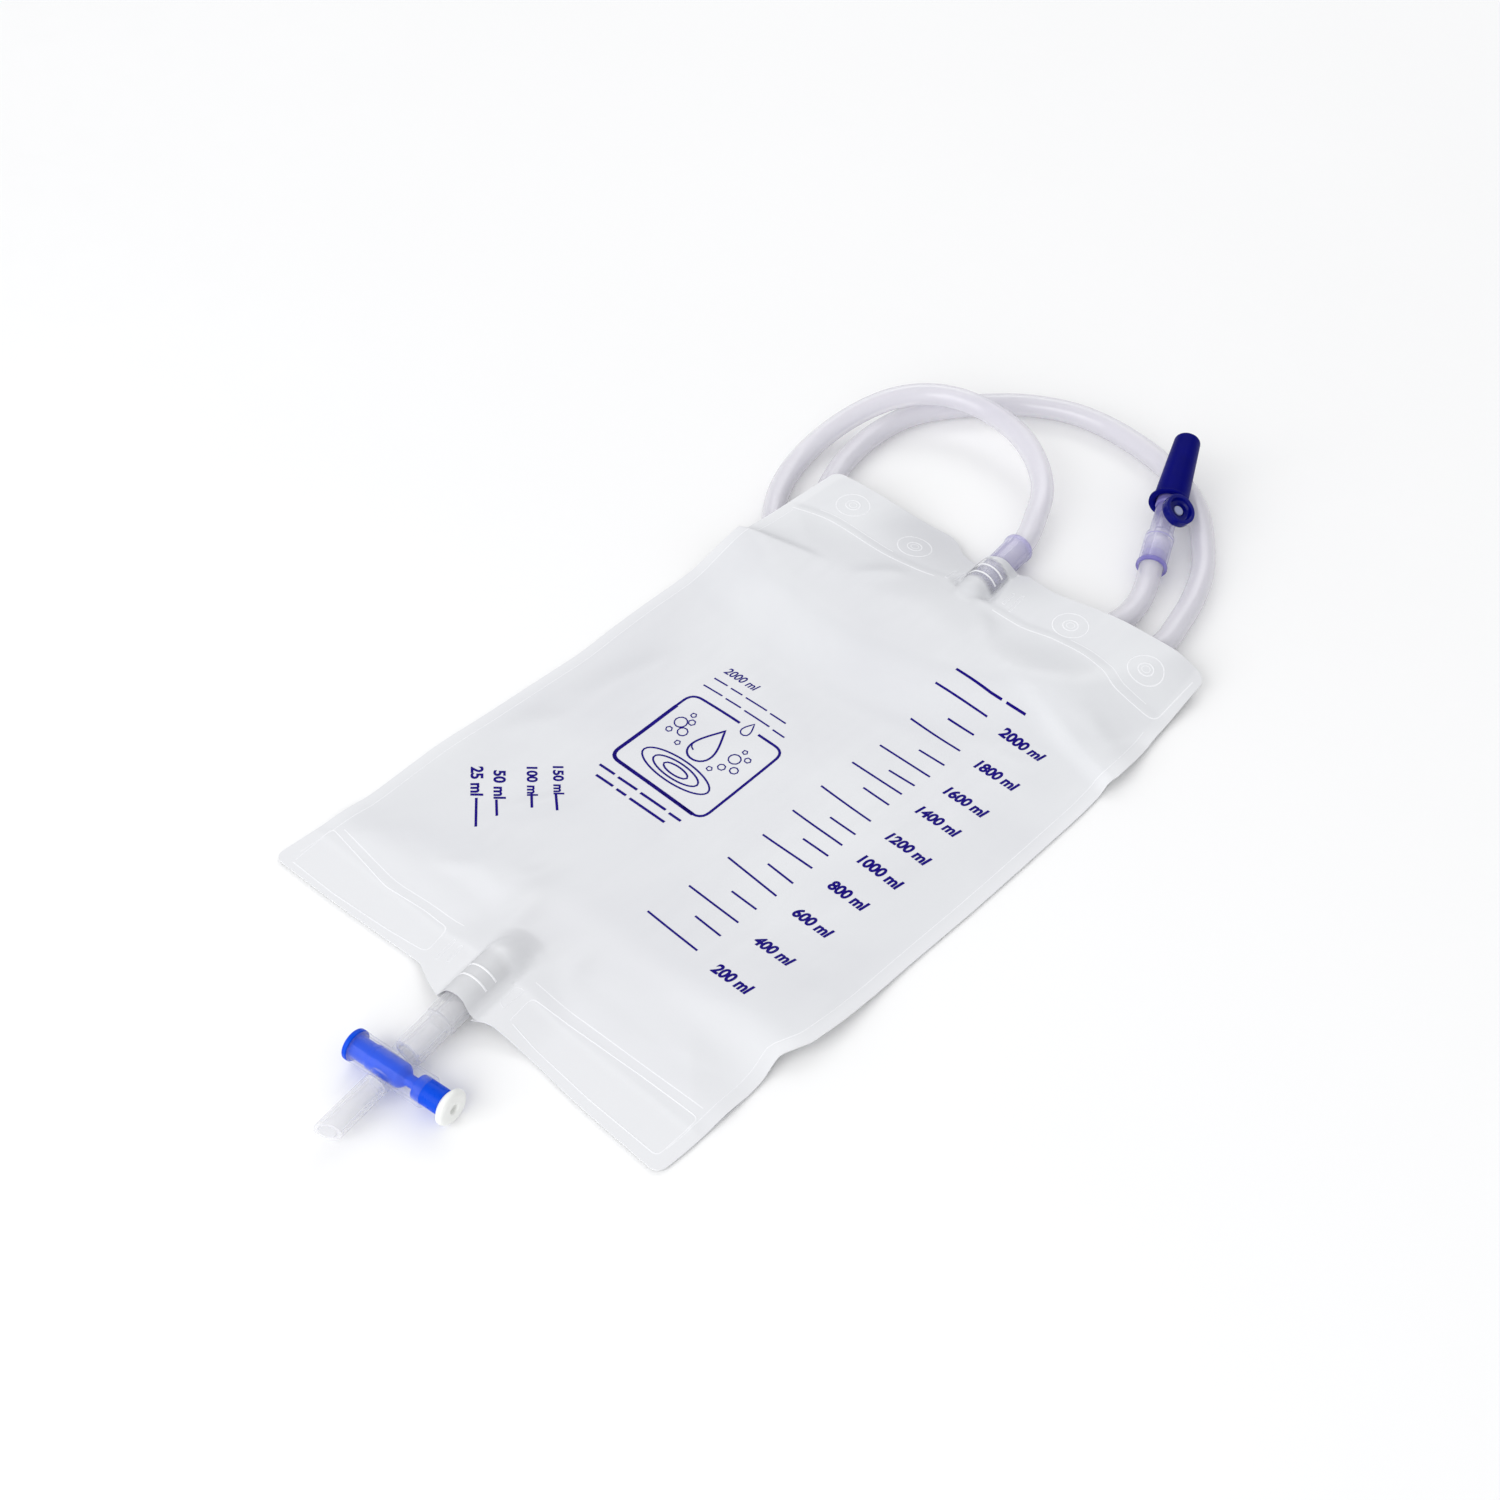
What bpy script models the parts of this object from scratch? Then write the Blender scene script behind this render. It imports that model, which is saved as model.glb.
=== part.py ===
import bpy
import bmesh
import math
from mathutils import Matrix, Vector

MM = 0.001

# Film pouch, laid flat: two PVC films welded round the edge
BAG_HALF_LENGTH = 155 * MM
BAG_HALF_WIDTH = 100 * MM
FILM_THICKNESS = 0.35 * MM
WELD_GAP = 0.3 * MM
WRAP_GAP = 0.75 * MM
PILLOW = 1.8 * MM
PILLOW_RUN = 26 * MM
EDGE_WELD = 6 * MM
BOTTOM_WELD = 20 * MM
TOP_ROWS_FROM = 100 * MM
BOTTOM_ROWS_FROM = -130 * MM

# The lists of points below are drawn for a pouch of this size. A longer or wider pouch
# stretches only in its middle, so its ends keep their form and take the fittings along.
DRAWN_HALF_LENGTH = 155 * MM
DRAWN_HALF_WIDTH = 100 * MM
STRETCH_RUN = 60 * MM

# Clearance left between mating pieces, and the two sizes of softened edge
FIT_GAP = 0.3 * MM
SOFT_EDGE = 0.4 * MM
ROUNDING = 1.0 * MM

# Inlet tube and the pieces pushed on it
TUBE_RADIUS = 5.0 * MM
TUBE_BORE_RADIUS = 3.2 * MM
SOCKET_DEPTH = 15 * MM
CUFF_WALL = 0.9 * MM

# Film over the tube that lies under the bag
RUN_LIFT = 2 * TUBE_RADIUS + 0.55 * MM
RUN_FLAT = 5.5 * MM
RUN_FADE_INSIDE = 75 * MM
RUN_FADE_OUTSIDE = 42 * MM
LOOP_CENTRE = Vector((-8 * MM, 165 * MM))

# Inlet connector, welded between the films at the top edge
INLET_RADIUS = TUBE_RADIUS + FIT_GAP + CUFF_WALL
INLET_AXIS_Z = FILM_THICKNESS + WELD_GAP + INLET_RADIUS + 0.15 * MM
INLET_LENGTH = 36.5 * MM
INLET_MOUTH = Vector((-1.9 * MM, 162.4 * MM, INLET_AXIS_Z))
INLET_TURN = math.radians(6.5)
INLET_LIP = 0.5 * MM
INLET_LIP_LENGTH = 1.6 * MM
INLET_GROOVES = [6.5 * MM, 12 * MM, 17 * MM]
INLET_GROOVE_DEPTH = 0.45 * MM
INLET_GROOVE_WIDTH = 0.9 * MM
INLET_BEVEL = math.radians(28)

# Outlet port and tap, in line on one axis below the bag
PORT_RADIUS = 6.0 * MM
OUTLET_AXIS_Z = FILM_THICKNESS + WELD_GAP + PORT_RADIUS + 0.05 * MM
OUTLET_EDGE = Vector((4.8 * MM, -156 * MM, OUTLET_AXIS_Z))
OUTLET_TURN = math.radians(7)
PORT_INSIDE = 19 * MM
PORT_OUTSIDE = 10.6 * MM
OUTLET_TUBE_RADIUS = 5.6 * MM
TAP_DISTANCE = 34.5 * MM
BARREL_RADIUS = 5.9 * MM
BARREL_WALL = 1.0 * MM
BARREL_LEFT = 15.3 * MM
BARREL_RIGHT = 16.0 * MM
STUB_RADIUS = 3.5 * MM
STUB_REACH = 27 * MM
SPOUT_STUB_RADIUS = 2.9 * MM
SPOUT_STUB_REACH = 16 * MM
DUCT_RADIUS = 2.2 * MM
COLLAR_RADIUS = 5.3 * MM
COLLAR_REACH = 7.4 * MM
SPOUT_RADIUS = 4.5 * MM
SPOUT_END = 32.4 * MM
SPOUT_BEVEL = math.radians(24)

# Sliding spool of the tap and its push button
SPOOL_RADIUS = BARREL_RADIUS - BARREL_WALL - FIT_GAP
SPOOL_CORE_RADIUS = 3.3 * MM
SPOOL_NECK_RADIUS = 2.2 * MM
SPOOL_DISC_THICKNESS = 1.9 * MM
SPOOL_WIDE_START = 8.3 * MM
SPOOL_WIDE_END = 5.2 * MM
SPOOL_NECK_START = 7.6 * MM
SPOOL_NECK_END = 11.4 * MM
SPOOL_COLLAR = 12.2 * MM
STEM_LENGTH = 7.6 * MM
BUTTON_RADIUS = OUTLET_AXIS_Z
BUTTON_THICKNESS = 3.8 * MM
BUTTON_HOLE_RADIUS = 1.7 * MM
BUTTON_HOLE_DEPTH = 1.6 * MM
PEG_RADIUS = 2.6 * MM
PEG_LENGTH = 1.3 * MM

# Catheter connector on the free end of the tube
END_MOUTH = Vector((46.9 * MM, 188.8 * MM, 7.8 * MM))
END_AXIS = Vector((-0.3995, 0.8968, 0.190)).normalized()
END_CUFF_RADIUS = TUBE_RADIUS + FIT_GAP + CUFF_WALL
END_CUFF_LENGTH = 17 * MM
END_LIP_LENGTH = 1.3 * MM
END_NECK_RADIUS = 5.1 * MM
END_NECK_LENGTH = 33.5 * MM
END_COLLAR_RADIUS = 5.7 * MM
END_COLLAR_END = 41 * MM
NOZZLE_BASE_RADIUS = 4.4 * MM
NOZZLE_TIP_RADIUS = 3.1 * MM
NOZZLE_END = 66 * MM
NOZZLE_BORE_RADIUS = 1.9 * MM

# Sample port on the side of the connector
PORT_DIRECTION = Vector((0.54, 0.06, 0.84))
SAMPLE_AT = 26.3 * MM
SAMPLE_NECK_RADIUS = 4.3 * MM
SAMPLE_NECK_ROOT = 1.0 * MM
SAMPLE_NECK_REACH = 8.3 * MM
SAMPLE_BORE_RADIUS = 1.1 * MM
SAMPLE_RING_RADIUS = 7.0 * MM
SAMPLE_RING_BACK = 7.5 * MM
SAMPLE_RING_FLOOR = 9.5 * MM
SAMPLE_RING_FRONT = 11.7 * MM
SAMPLE_RECESS_RADIUS = 5.3 * MM
SEPTUM_RADIUS = 2.2 * MM
SEPTUM_DEPTH = 3.0 * MM

# Protective cap over the nozzle
CAP_FLANGE_RADIUS = 9.0 * MM
CAP_START = 35.4 * MM
CAP_FLANGE_THICKNESS = 1.5 * MM
CAP_BASE_RADIUS = 7.5 * MM
CAP_TOP_RADIUS = 5.7 * MM
CAP_END = 73.5 * MM
CAP_WALL = 1.1 * MM

# Non-return flap inside the pouch, just below the inlet connector
FLAP_THICKNESS = 0.25 * MM
FLAP_START = 70 * MM
FLAP_END = 110 * MM

# Film pulled over a fitting: how far past the fitting it stays raised and over what run it sinks,
# and the band round the inlet that the folds leave flat
WRAP_PAST = 13 * MM
WRAP_RUN = 12 * MM
SIDE_RISE = 0.7
QUIET_HALF_WIDTH = 26 * MM
QUIET_START = 4 * MM
QUIET_RUN = 20 * MM

# Columns of the film grid: offsets from the middle line, then shares of the way to the edge
CENTRE_COLUMNS = [3.0, 5.6, 8.4, 13.0]
SIDE_SHARES = [0.12, 0.25, 0.38, 0.51, 0.64, 0.77, 0.89, 1.0]
FILM_ROWS = [-155, -150, -143, -136, -128, -117, -105, -96.5, -92, -87, -79, -68, -52, -34, -15,
             5, 25, 43, 57, 67, 75, 81, 86.5, 91, 96, 102, 108, 114, 120, 126, 132, 138, 144, 150, 155]
FLAP_ROWS = [i for i in range(len(FILM_ROWS)) if FLAP_START < FILM_ROWS[i] * MM < FLAP_END]

# Outline of the pouch as it lies, in millimetres: (along, across) or (across, along)
LEFT_EDGE = [(-155, -99.3), (-138, -98.5), (-114, -97.3), (-90, -98.2), (-78, -98.6),
             (-54, -97.5), (-20, -96.3), (-6, -95.8), (18, -97), (35, -97.4), (54, -96.7),
             (66, -95.6), (78, -93.8), (90, -91.8), (102, -90.4), (130, -89.5), (155, -88.6)]
RIGHT_EDGE = [(-155, 99.2), (-140, 100), (-120, 100), (-108, 99.6), (-98, 98.3), (-92, 101),
              (-86, 103.4), (-70, 104.4), (-40, 104), (0, 105), (30, 105.3), (60, 105.4),
              (75, 104.8), (79, 104.6), (84, 105.8), (122, 102.2), (155, 100.3)]
TOP_EDGE = [(-88, 144.8), (-80, 145.4), (-70, 146), (-60, 147), (-50, 148.5), (-40, 150.5),
            (-30, 152), (-25, 150.5), (-20, 146.5), (-15, 143.8), (-9, 142.8), (-3, 143.5),
            (1.5, 145.1), (5.5, 146.6), (9, 149), (12, 150.4), (16, 149.3), (21, 147.8),
            (28, 146.3), (36, 147), (46, 149), (65, 151), (100, 150.8)]
BOTTOM_EDGE = [(-97, -156), (-69, -155), (-43, -153.4), (-24, -152), (-17, -153.6), (-12, -155.2),
               (-8, -156.2), (-3, -158.4), (2, -158.9), (8, -158.2), (12, -157.6), (14, -155.6),
               (17, -153.7), (21, -153), (35, -153.5), (59, -155.3), (98, -156.5)]
TOP_WELD = [(-97, 110), (-66, 117.5), (-40, 116.5), (-22, 118.5), (-5, 122.5), (12, 120),
            (30, 119.3), (46, 122.5), (58, 123.3), (70, 121.5), (80, 118), (100, 119.5)]

# Route of the inlet tube, in millimetres, from the inlet to the catheter connector
LEAD = [(-7.6, 181, 9.0), (-15.6, 196, 11.2), (-29.6, 208.5, 13.4), (-46.7, 216.4, 15.0),
        (-65, 218.6, 15.8), (-80.7, 216.1, 16.0), (-93.4, 208.3, 15.8), (-103.2, 196.2, 14.2),
        (-110.2, 180.6, 10.4), (-112.8, 162, 6.9), (-110.7, 143.6, 5.2), (-104.8, 127.1, 5.0)]
OUTER_RUN = [(-96.3, 112.8, 5.0), (-85.5, 101, 5.0), (-71, 91, 5.0), (-52, 85, 5.0),
             (-30, 82.5, 5.0), (-8, 83, 5.0), (14, 87.5, 5.0), (34, 96.5, 5.0), (52, 110.5, 5.0),
             (66, 128, 5.0), (74, 146, 5.0), (75.9, 157.6, 5.0)]
RETURN_LOOP = [(73.4, 171.7, 5.0), (69.5, 187, 5.0), (62.6, 204, 5.0), (53.5, 218, 5.0),
               (42.1, 232, 5.0), (28.6, 243, 5.0), (7, 253, 5.0), (-17.5, 257.6, 5.0),
               (-38, 256.8, 5.0), (-55, 250.5, 5.0), (-71, 239, 5.0), (-87.8, 219, 5.0),
               (-96, 203, 5.0), (-98.7, 185.3, 5.0), (-97.2, 165.7, 5.0)]
INNER_RUN = [(-91.8, 146.6, 5.0), (-81, 126, 5.0), (-64, 111, 5.0), (-42, 101.5, 5.0),
             (-17, 98, 5.0), (8, 102, 5.0), (31, 113.5, 5.0), (47.5, 131.5, 5.0), (55, 154, 5.0)]
TAIL = [(54.6, 168.5, 5.2), (51.4, 178.8, 6.0)]
LEAD_OUT = 4 * MM
LEAD_IN = 2 * MM
ROUTE_FINENESS = 12
ROUTE_STEP = 14.5 * MM
TABLE_GAP = 0.1 * MM

# Folds that die away from their start, and low swells that die away at both ends:
# (start, end, height, spread below, spread above), in millimetres
FOLDS = [((-93, 86), (-48, 95), 6.0, 15, 4.5),
         ((106, 83), (22, 103), 4.6, 5.0, 13),
         ((102, -89), (-8, -93), 5.2, 5.0, 30)]
SWELLS = [((-70, -20), (20, 40), 1.6, 16, 22),
          ((30, -30), (96, 20), 1.4, 18, 16),
          ((-60, -95), (-4, -118), 1.9, 8, 12)]

# Facets round one turn: wide round pieces, common ones, narrow bores
FINE_STEPS = 32
ROUND_STEPS = 28
BORE_STEPS = 20
SHARP_ANGLE = math.radians(35)


def clear_scene():
    for item in list(bpy.data.objects):
        bpy.data.objects.remove(item, do_unlink=True)
    for group in list(bpy.data.collections):
        bpy.data.collections.remove(group)


def new_collection(name):
    group = bpy.data.collections.new(name)
    bpy.context.scene.collection.children.link(group)
    return group


def new_material(name, color, roughness, alpha=1.0):
    material = bpy.data.materials.new(name)
    material.use_nodes = True
    shader = material.node_tree.nodes["Principled BSDF"]
    shader.inputs["Base Color"].default_value = (color[0], color[1], color[2], 1.0)
    shader.inputs["Roughness"].default_value = roughness
    shader.inputs["Alpha"].default_value = alpha
    material.diffuse_color = (color[0], color[1], color[2], alpha)
    return material


def add_object(name, mesh, group, material):
    item = bpy.data.objects.new(name, mesh)
    group.objects.link(item)
    if material is not None:
        mesh.materials.append(material)
    return item


def smoothstep(value):
    value = min(1.0, max(0.0, value))
    return value * value * (3.0 - 2.0 * value)


def along_table(table, at):
    # Straight interpolation between the points of an outline
    at_mm = at / MM
    if at_mm <= table[0][0]:
        return table[0][1] * MM
    for (x0, y0), (x1, y1) in zip(table, table[1:]):
        if at_mm <= x1:
            return (y0 + (y1 - y0) * (at_mm - x0) / (x1 - x0)) * MM
    return table[-1][1] * MM


def stretched(point):
    # From the drawing to the pouch as sized: the ends move whole, the middle stretches
    longer = (BAG_HALF_LENGTH - DRAWN_HALF_LENGTH) * max(-1.0, min(1.0, point[1] / STRETCH_RUN))
    return Vector((point[0], point[1] + longer, point[2]))


def catmull(points, steps):
    # Smooth curve through every point of a route
    ends = [points[0] * 2 - points[1]] + points + [points[-1] * 2 - points[-2]]
    curve = []
    for i in range(1, len(ends) - 2):
        p0, p1, p2, p3 = ends[i - 1], ends[i], ends[i + 1], ends[i + 2]
        for k in range(steps):
            t = k / steps
            curve.append(0.5 * (p1 * 2 + (p2 - p0) * t + (p0 * 2 - p1 * 5 + p2 * 4 - p3) * t * t
                                + (p1 * 3 - p0 - p2 * 3 + p3) * t * t * t))
    curve.append(points[-1].copy())
    return curve


def even_steps(curve, step):
    # Points at equal distances along a fine curve
    lengths = [0.0]
    for a, b in zip(curve, curve[1:]):
        lengths.append(lengths[-1] + (b - a).length)
    count = max(2, round(lengths[-1] / step))
    spaced = []
    j = 0
    for i in range(count + 1):
        target = lengths[-1] * i / count
        while j < len(lengths) - 2 and lengths[j + 1] < target:
            j += 1
        share = (target - lengths[j]) / max(lengths[j + 1] - lengths[j], 1e-12)
        spaced.append(curve[j].lerp(curve[j + 1], min(1.0, share)))
    return spaced


def in_metres(points):
    lift = Vector((0, 0, TABLE_GAP))
    return [Vector(p) * MM + lift for p in points]


def axis_frame(origin, axis, side):
    # Local z along the axis, local x toward the side direction
    z = axis.normalized()
    x = (side - z * side.dot(z)).normalized()
    y = z.cross(x)
    return Matrix(((x.x, y.x, z.x, origin.x), (x.y, y.y, z.y, origin.y),
                   (x.z, y.z, z.z, origin.z), (0, 0, 0, 1)))


def revolve(name, profile, matrix, group, material, steps=ROUND_STEPS):
    # Closed outline of (radius, height) points turned once round the local z axis
    bm = bmesh.new()
    ring = [bm.verts.new((radius, 0.0, height)) for radius, height in profile]
    sides = [i for i in range(len(ring)) if profile[i - 1][0] > 0.0 or profile[i][0] > 0.0]
    edges = [bm.edges.new((ring[i - 1], ring[i])) for i in sides]
    bmesh.ops.spin(bm, geom=ring + edges, axis=(0, 0, 1), cent=(0, 0, 0), steps=steps,
                   angle=math.tau, use_merge=True, use_duplicate=False)
    bmesh.ops.remove_doubles(bm, verts=bm.verts, dist=0.01 * MM)
    bmesh.ops.dissolve_degenerate(bm, edges=bm.edges, dist=0.001 * MM)
    bmesh.ops.recalc_face_normals(bm, faces=bm.faces)
    return finish_mesh(name, bm, matrix, group, material)


def finish_mesh(name, bm, matrix, group, material):
    mesh = bpy.data.meshes.new(name)
    bm.transform(matrix)
    bm.to_mesh(mesh)
    bm.free()
    mesh.shade_smooth()
    mesh.set_sharp_from_angle(angle=SHARP_ANGLE)
    return add_object(name, mesh, group, material)


def rod(name, radius, start, end, matrix, group, steps=FINE_STEPS, turn=0.0):
    # Solid round bar between two heights of a local frame, its facets turned by an angle
    profile = [(0.0, start), (radius, start), (radius, end), (0.0, end)]
    turned = matrix @ Matrix.Rotation(math.radians(turn), 4, "Z")
    return revolve(name, profile, turned, group, None, steps)


def add_boolean(item, operation, other):
    cut = item.modifiers.new(operation.title() + " " + other.name, "BOOLEAN")
    cut.operation = operation
    cut.solver = "EXACT"
    cut.object = other
    other.display_type = "WIRE"
    other.hide_render = True


def wrap_height(offset, radius, centre, foot):
    # Film pulled over a round piece: arc on top, straight down to the weld on each side
    tilt = math.atan2(centre, foot) + math.asin(min(1.0, radius / math.hypot(foot, centre)))
    turn = radius * math.sin(tilt)
    offset = abs(offset)
    if offset <= turn:
        return centre + math.sqrt(radius * radius - offset * offset)
    top = centre + radius * math.cos(tilt)
    return max(0.0, top * (foot - offset) / (foot - turn))


def run_share(x, y, run):
    # How much of the tube's height the film keeps here: short fade inside the loop, long outside
    here = Vector((x, y))
    best = None
    for a, b in zip(run, run[1:]):
        start = a.to_2d()
        step = b.to_2d() - start
        share = min(1.0, max(0.0, (here - start).dot(step) / step.length_squared))
        near = start + step * share
        if best is None or (here - near).length < (here - best).length:
            best = near
    distance = (here - best).length
    outside = (here - LOOP_CENTRE).length > (best - LOOP_CENTRE).length
    fade = RUN_FADE_OUTSIDE if outside else RUN_FADE_INSIDE
    if distance <= RUN_FLAT:
        return 1.0
    if distance >= fade:
        return 0.0
    return math.cos((distance - RUN_FLAT) / (fade - RUN_FLAT) * math.pi / 2) ** 2


def ridge(x, y, fold):
    # Height of one fold beside its crest line, and how far along the line the point is
    start, end, height, below, above = fold
    sx, sy = start[0] * MM, start[1] * MM
    dx, dy = end[0] * MM - sx, end[1] * MM - sy
    length = math.hypot(dx, dy)
    share = ((x - sx) * dx + (y - sy) * dy) / (length * length)
    off = ((y - sy) * dx - (x - sx) * dy) / length
    if dx < 0:
        off = -off
    spread = (above if off > 0 else below) * MM
    return height * MM * math.exp(-(off / spread) ** 2), share


def fold_height(x, y):
    total = 0.0
    for fold in FOLDS:
        height, share = ridge(x, y, fold)
        total += height * (1.0 - smoothstep(share))
    for fold in SWELLS:
        height, share = ridge(x, y, fold)
        total += height * smoothstep(2 * share) * smoothstep(2 - 2 * share)
    return total


def inlet_line(y):
    return INLET_MOUTH.x - (y - INLET_MOUTH.y) * math.tan(INLET_TURN)


def outlet_line(y):
    return OUTLET_EDGE.x + (OUTLET_EDGE.y - y) * math.tan(OUTLET_TURN)


INLET_INNER_Y = INLET_MOUTH.y - INLET_LENGTH * math.cos(INLET_TURN)
PORT_INNER_Y = OUTLET_EDGE.y + PORT_INSIDE * math.cos(OUTLET_TURN)


def middle_line(y):
    if y >= INLET_INNER_Y:
        return inlet_line(y)
    if y <= PORT_INNER_Y:
        return outlet_line(y)
    share = (y - PORT_INNER_Y) / (INLET_INNER_Y - PORT_INNER_Y)
    return outlet_line(PORT_INNER_Y) * (1 - share) + inlet_line(INLET_INNER_Y) * share


def column_positions(y):
    middle = middle_line(y)
    reach = CENTRE_COLUMNS[-1] * MM
    wider = BAG_HALF_WIDTH - DRAWN_HALF_WIDTH
    left = along_table(LEFT_EDGE, y) - wider
    right = along_table(RIGHT_EDGE, y) + wider
    columns = [middle - reach + (left - middle + reach) * s for s in reversed(SIDE_SHARES)]
    columns += [middle - offset * MM for offset in reversed(CENTRE_COLUMNS)]
    columns += [middle]
    columns += [middle + offset * MM for offset in CENTRE_COLUMNS]
    columns += [middle + reach + (right - middle - reach) * s for s in SIDE_SHARES]
    return columns


def row_height(row, x):
    if row > TOP_ROWS_FROM:
        top = along_table(TOP_EDGE, x)
        share = (row - TOP_ROWS_FROM) / (DRAWN_HALF_LENGTH - TOP_ROWS_FROM)
        return TOP_ROWS_FROM + share * (top - TOP_ROWS_FROM)
    if row < BOTTOM_ROWS_FROM:
        bottom = along_table(BOTTOM_EDGE, x)
        share = (row - BOTTOM_ROWS_FROM) / (-DRAWN_HALF_LENGTH - BOTTOM_ROWS_FROM)
        return BOTTOM_ROWS_FROM + share * (bottom - BOTTOM_ROWS_FROM)
    return row


def lying_height(x, y, runs):
    # Underside of the rear film above the table
    away = 1.0
    for run in runs:
        away *= 1.0 - run_share(x, y, run)
    below = smoothstep((INLET_INNER_Y - QUIET_START - y) / QUIET_RUN)
    beside = smoothstep((abs(x - middle_line(y)) - QUIET_HALF_WIDTH) / QUIET_RUN)
    return RUN_LIFT * (1.0 - away) + fold_height(x, y) * max(below, beside)


def under_inlet(x, y, low):
    # The rear film dips below the inlet connector and rises again on each side of it
    radius = INLET_RADIUS + WRAP_GAP
    offset = abs(x - inlet_line(y))
    room = INLET_AXIS_Z - FILM_THICKNESS - math.sqrt(max(radius * radius - offset * offset, 0.0))
    room = max(0.0, room + SIDE_RISE * max(0.0, offset - radius))
    share = smoothstep((y - INLET_INNER_Y + WRAP_PAST) / WRAP_RUN)
    return low + (min(low, room) - low) * share


def pouch_gap(x, y, low, left, right):
    # Distance between the two films: welded at the border, slack inside, open round the fittings
    inside = min(x - left, right - x) - EDGE_WELD
    inside = min(inside, y + DRAWN_HALF_LENGTH - BOTTOM_WELD, along_table(TOP_WELD, x) - y)
    gap = WELD_GAP + PILLOW * smoothstep(inside / PILLOW_RUN)
    below = FILM_THICKNESS
    reach = smoothstep((y - INLET_INNER_Y + WRAP_PAST + WRAP_RUN) / WRAP_RUN)
    foot = CENTRE_COLUMNS[-1] * MM
    wrap = wrap_height(x - inlet_line(y), INLET_RADIUS + WRAP_GAP, INLET_AXIS_Z - below, foot)
    gap = max(gap, wrap * reach - low)
    reach = smoothstep((PORT_INNER_Y + WRAP_PAST - y) / WRAP_RUN)
    wrap = wrap_height(x - outlet_line(y), PORT_RADIUS + WRAP_GAP, OUTLET_AXIS_Z - below, foot)
    return max(gap, wrap * reach)


def film_grid(runs):
    # Plan position, underside height and pouch gap at every grid point
    grid = []
    for row in FILM_ROWS:
        line = []
        row_m = row * MM
        columns = column_positions(row_m)
        for x in columns:
            y = row_height(row_m, x)
            low = under_inlet(x, y, lying_height(x, y, runs))
            line.append((x, y, low, pouch_gap(x, y, low, columns[0], columns[-1])))
        grid.append(line)
    return grid


def sheet(name, low, thickness, group, material):
    # Thin closed sheet over a grid of (x, y, z) undersides
    bm = bmesh.new()
    under = [[bm.verts.new(p) for p in line] for line in low]
    over = [[bm.verts.new((p[0], p[1], p[2] + thickness)) for p in line] for line in low]
    rows = len(low)
    cols = len(low[0])
    for i in range(rows - 1):
        for j in range(cols - 1):
            a, b, c, d = (i, j), (i, j + 1), (i + 1, j + 1), (i + 1, j)
            for layer, flip in ((over, False), (under, True)):
                corners = [layer[r][k] for r, k in (a, b, c, d)]
                for tri in ((0, 1, 2), (0, 2, 3)):
                    face = [corners[k] for k in tri]
                    bm.faces.new(list(reversed(face)) if flip else face)
    border = [(0, j) for j in range(cols - 1)] + [(i, cols - 1) for i in range(rows - 1)]
    border += [(rows - 1, j) for j in range(cols - 1, 0, -1)] + [(i, 0) for i in range(rows - 1, 0, -1)]
    for k in range(len(border)):
        r0, c0 = border[k]
        r1, c1 = border[(k + 1) % len(border)]
        bm.faces.new((under[r0][c0], under[r1][c1], over[r1][c1], over[r0][c0]))
    bmesh.ops.recalc_face_normals(bm, faces=bm.faces)
    return finish_mesh(name, bm, Matrix.Identity(4), group, material)


def build_films(group, materials, runs):
    grid = film_grid(runs)
    rear = [[stretched((x, y, low)) for x, y, low, gap in line] for line in grid]
    front = [[stretched((x, y, low + FILM_THICKNESS + gap)) for x, y, low, gap in line] for line in grid]
    sheet("rear_film", rear, FILM_THICKNESS, group, materials["rear_film"])
    sheet("front_film", front, FILM_THICKNESS, group, materials["front_film"])
    first = len(SIDE_SHARES)
    last = first + 2 * len(CENTRE_COLUMNS) + 1
    lift = FILM_THICKNESS + FIT_GAP
    flap = [[(p[0], p[1], p[2] + lift) for p in rear[i][first:last]] for i in FLAP_ROWS]
    sheet("non_return_flap", flap, FLAP_THICKNESS, group, materials["non_return_flap"])


def build_inlet(group, cutters, material):
    axis = Vector((-math.sin(INLET_TURN), math.cos(INLET_TURN), 0))
    inner_end = stretched(INLET_MOUTH) - axis * INLET_LENGTH
    frame = axis_frame(inner_end, axis, Vector((1, 0, 0)))
    outer = INLET_RADIUS
    lip = outer + INLET_LIP
    floor = INLET_LENGTH - SOCKET_DEPTH
    low = outer - INLET_GROOVE_DEPTH
    half = INLET_GROOVE_WIDTH / 2
    slant = half / 4
    profile = [(TUBE_BORE_RADIUS, 0.0), (outer - SOFT_EDGE, 0.0), (outer, SOFT_EDGE)]
    for centre in INLET_GROOVES:
        profile += [(outer, centre - half), (low, centre - half + slant),
                    (low, centre + half - slant), (outer, centre + half)]
    profile += [(outer, INLET_LENGTH - INLET_LIP_LENGTH - SOFT_EDGE), (lip, INLET_LENGTH - INLET_LIP_LENGTH),
                (lip, INLET_LENGTH - SOFT_EDGE), (lip - SOFT_EDGE, INLET_LENGTH),
                (TUBE_RADIUS + FIT_GAP, INLET_LENGTH), (TUBE_RADIUS + FIT_GAP, floor),
                (TUBE_BORE_RADIUS, floor)]
    item = revolve("inlet_connector", profile, frame, group, material)
    block = bmesh.new()
    bmesh.ops.create_cube(block, size=1.0)
    size = 4 * outer
    shift = Matrix.Translation((0, 0, -size / 2)) @ Matrix.Diagonal((size, size, size, 1))
    tip = Matrix.Translation((0, 0, outer * math.tan(INLET_BEVEL)))
    tilt = Matrix.Rotation(INLET_BEVEL, 4, "Y")
    cutter = finish_mesh("inlet_bevel_cutter", block, frame @ tip @ tilt @ shift, cutters, None)
    add_boolean(item, "DIFFERENCE", cutter)


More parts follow.
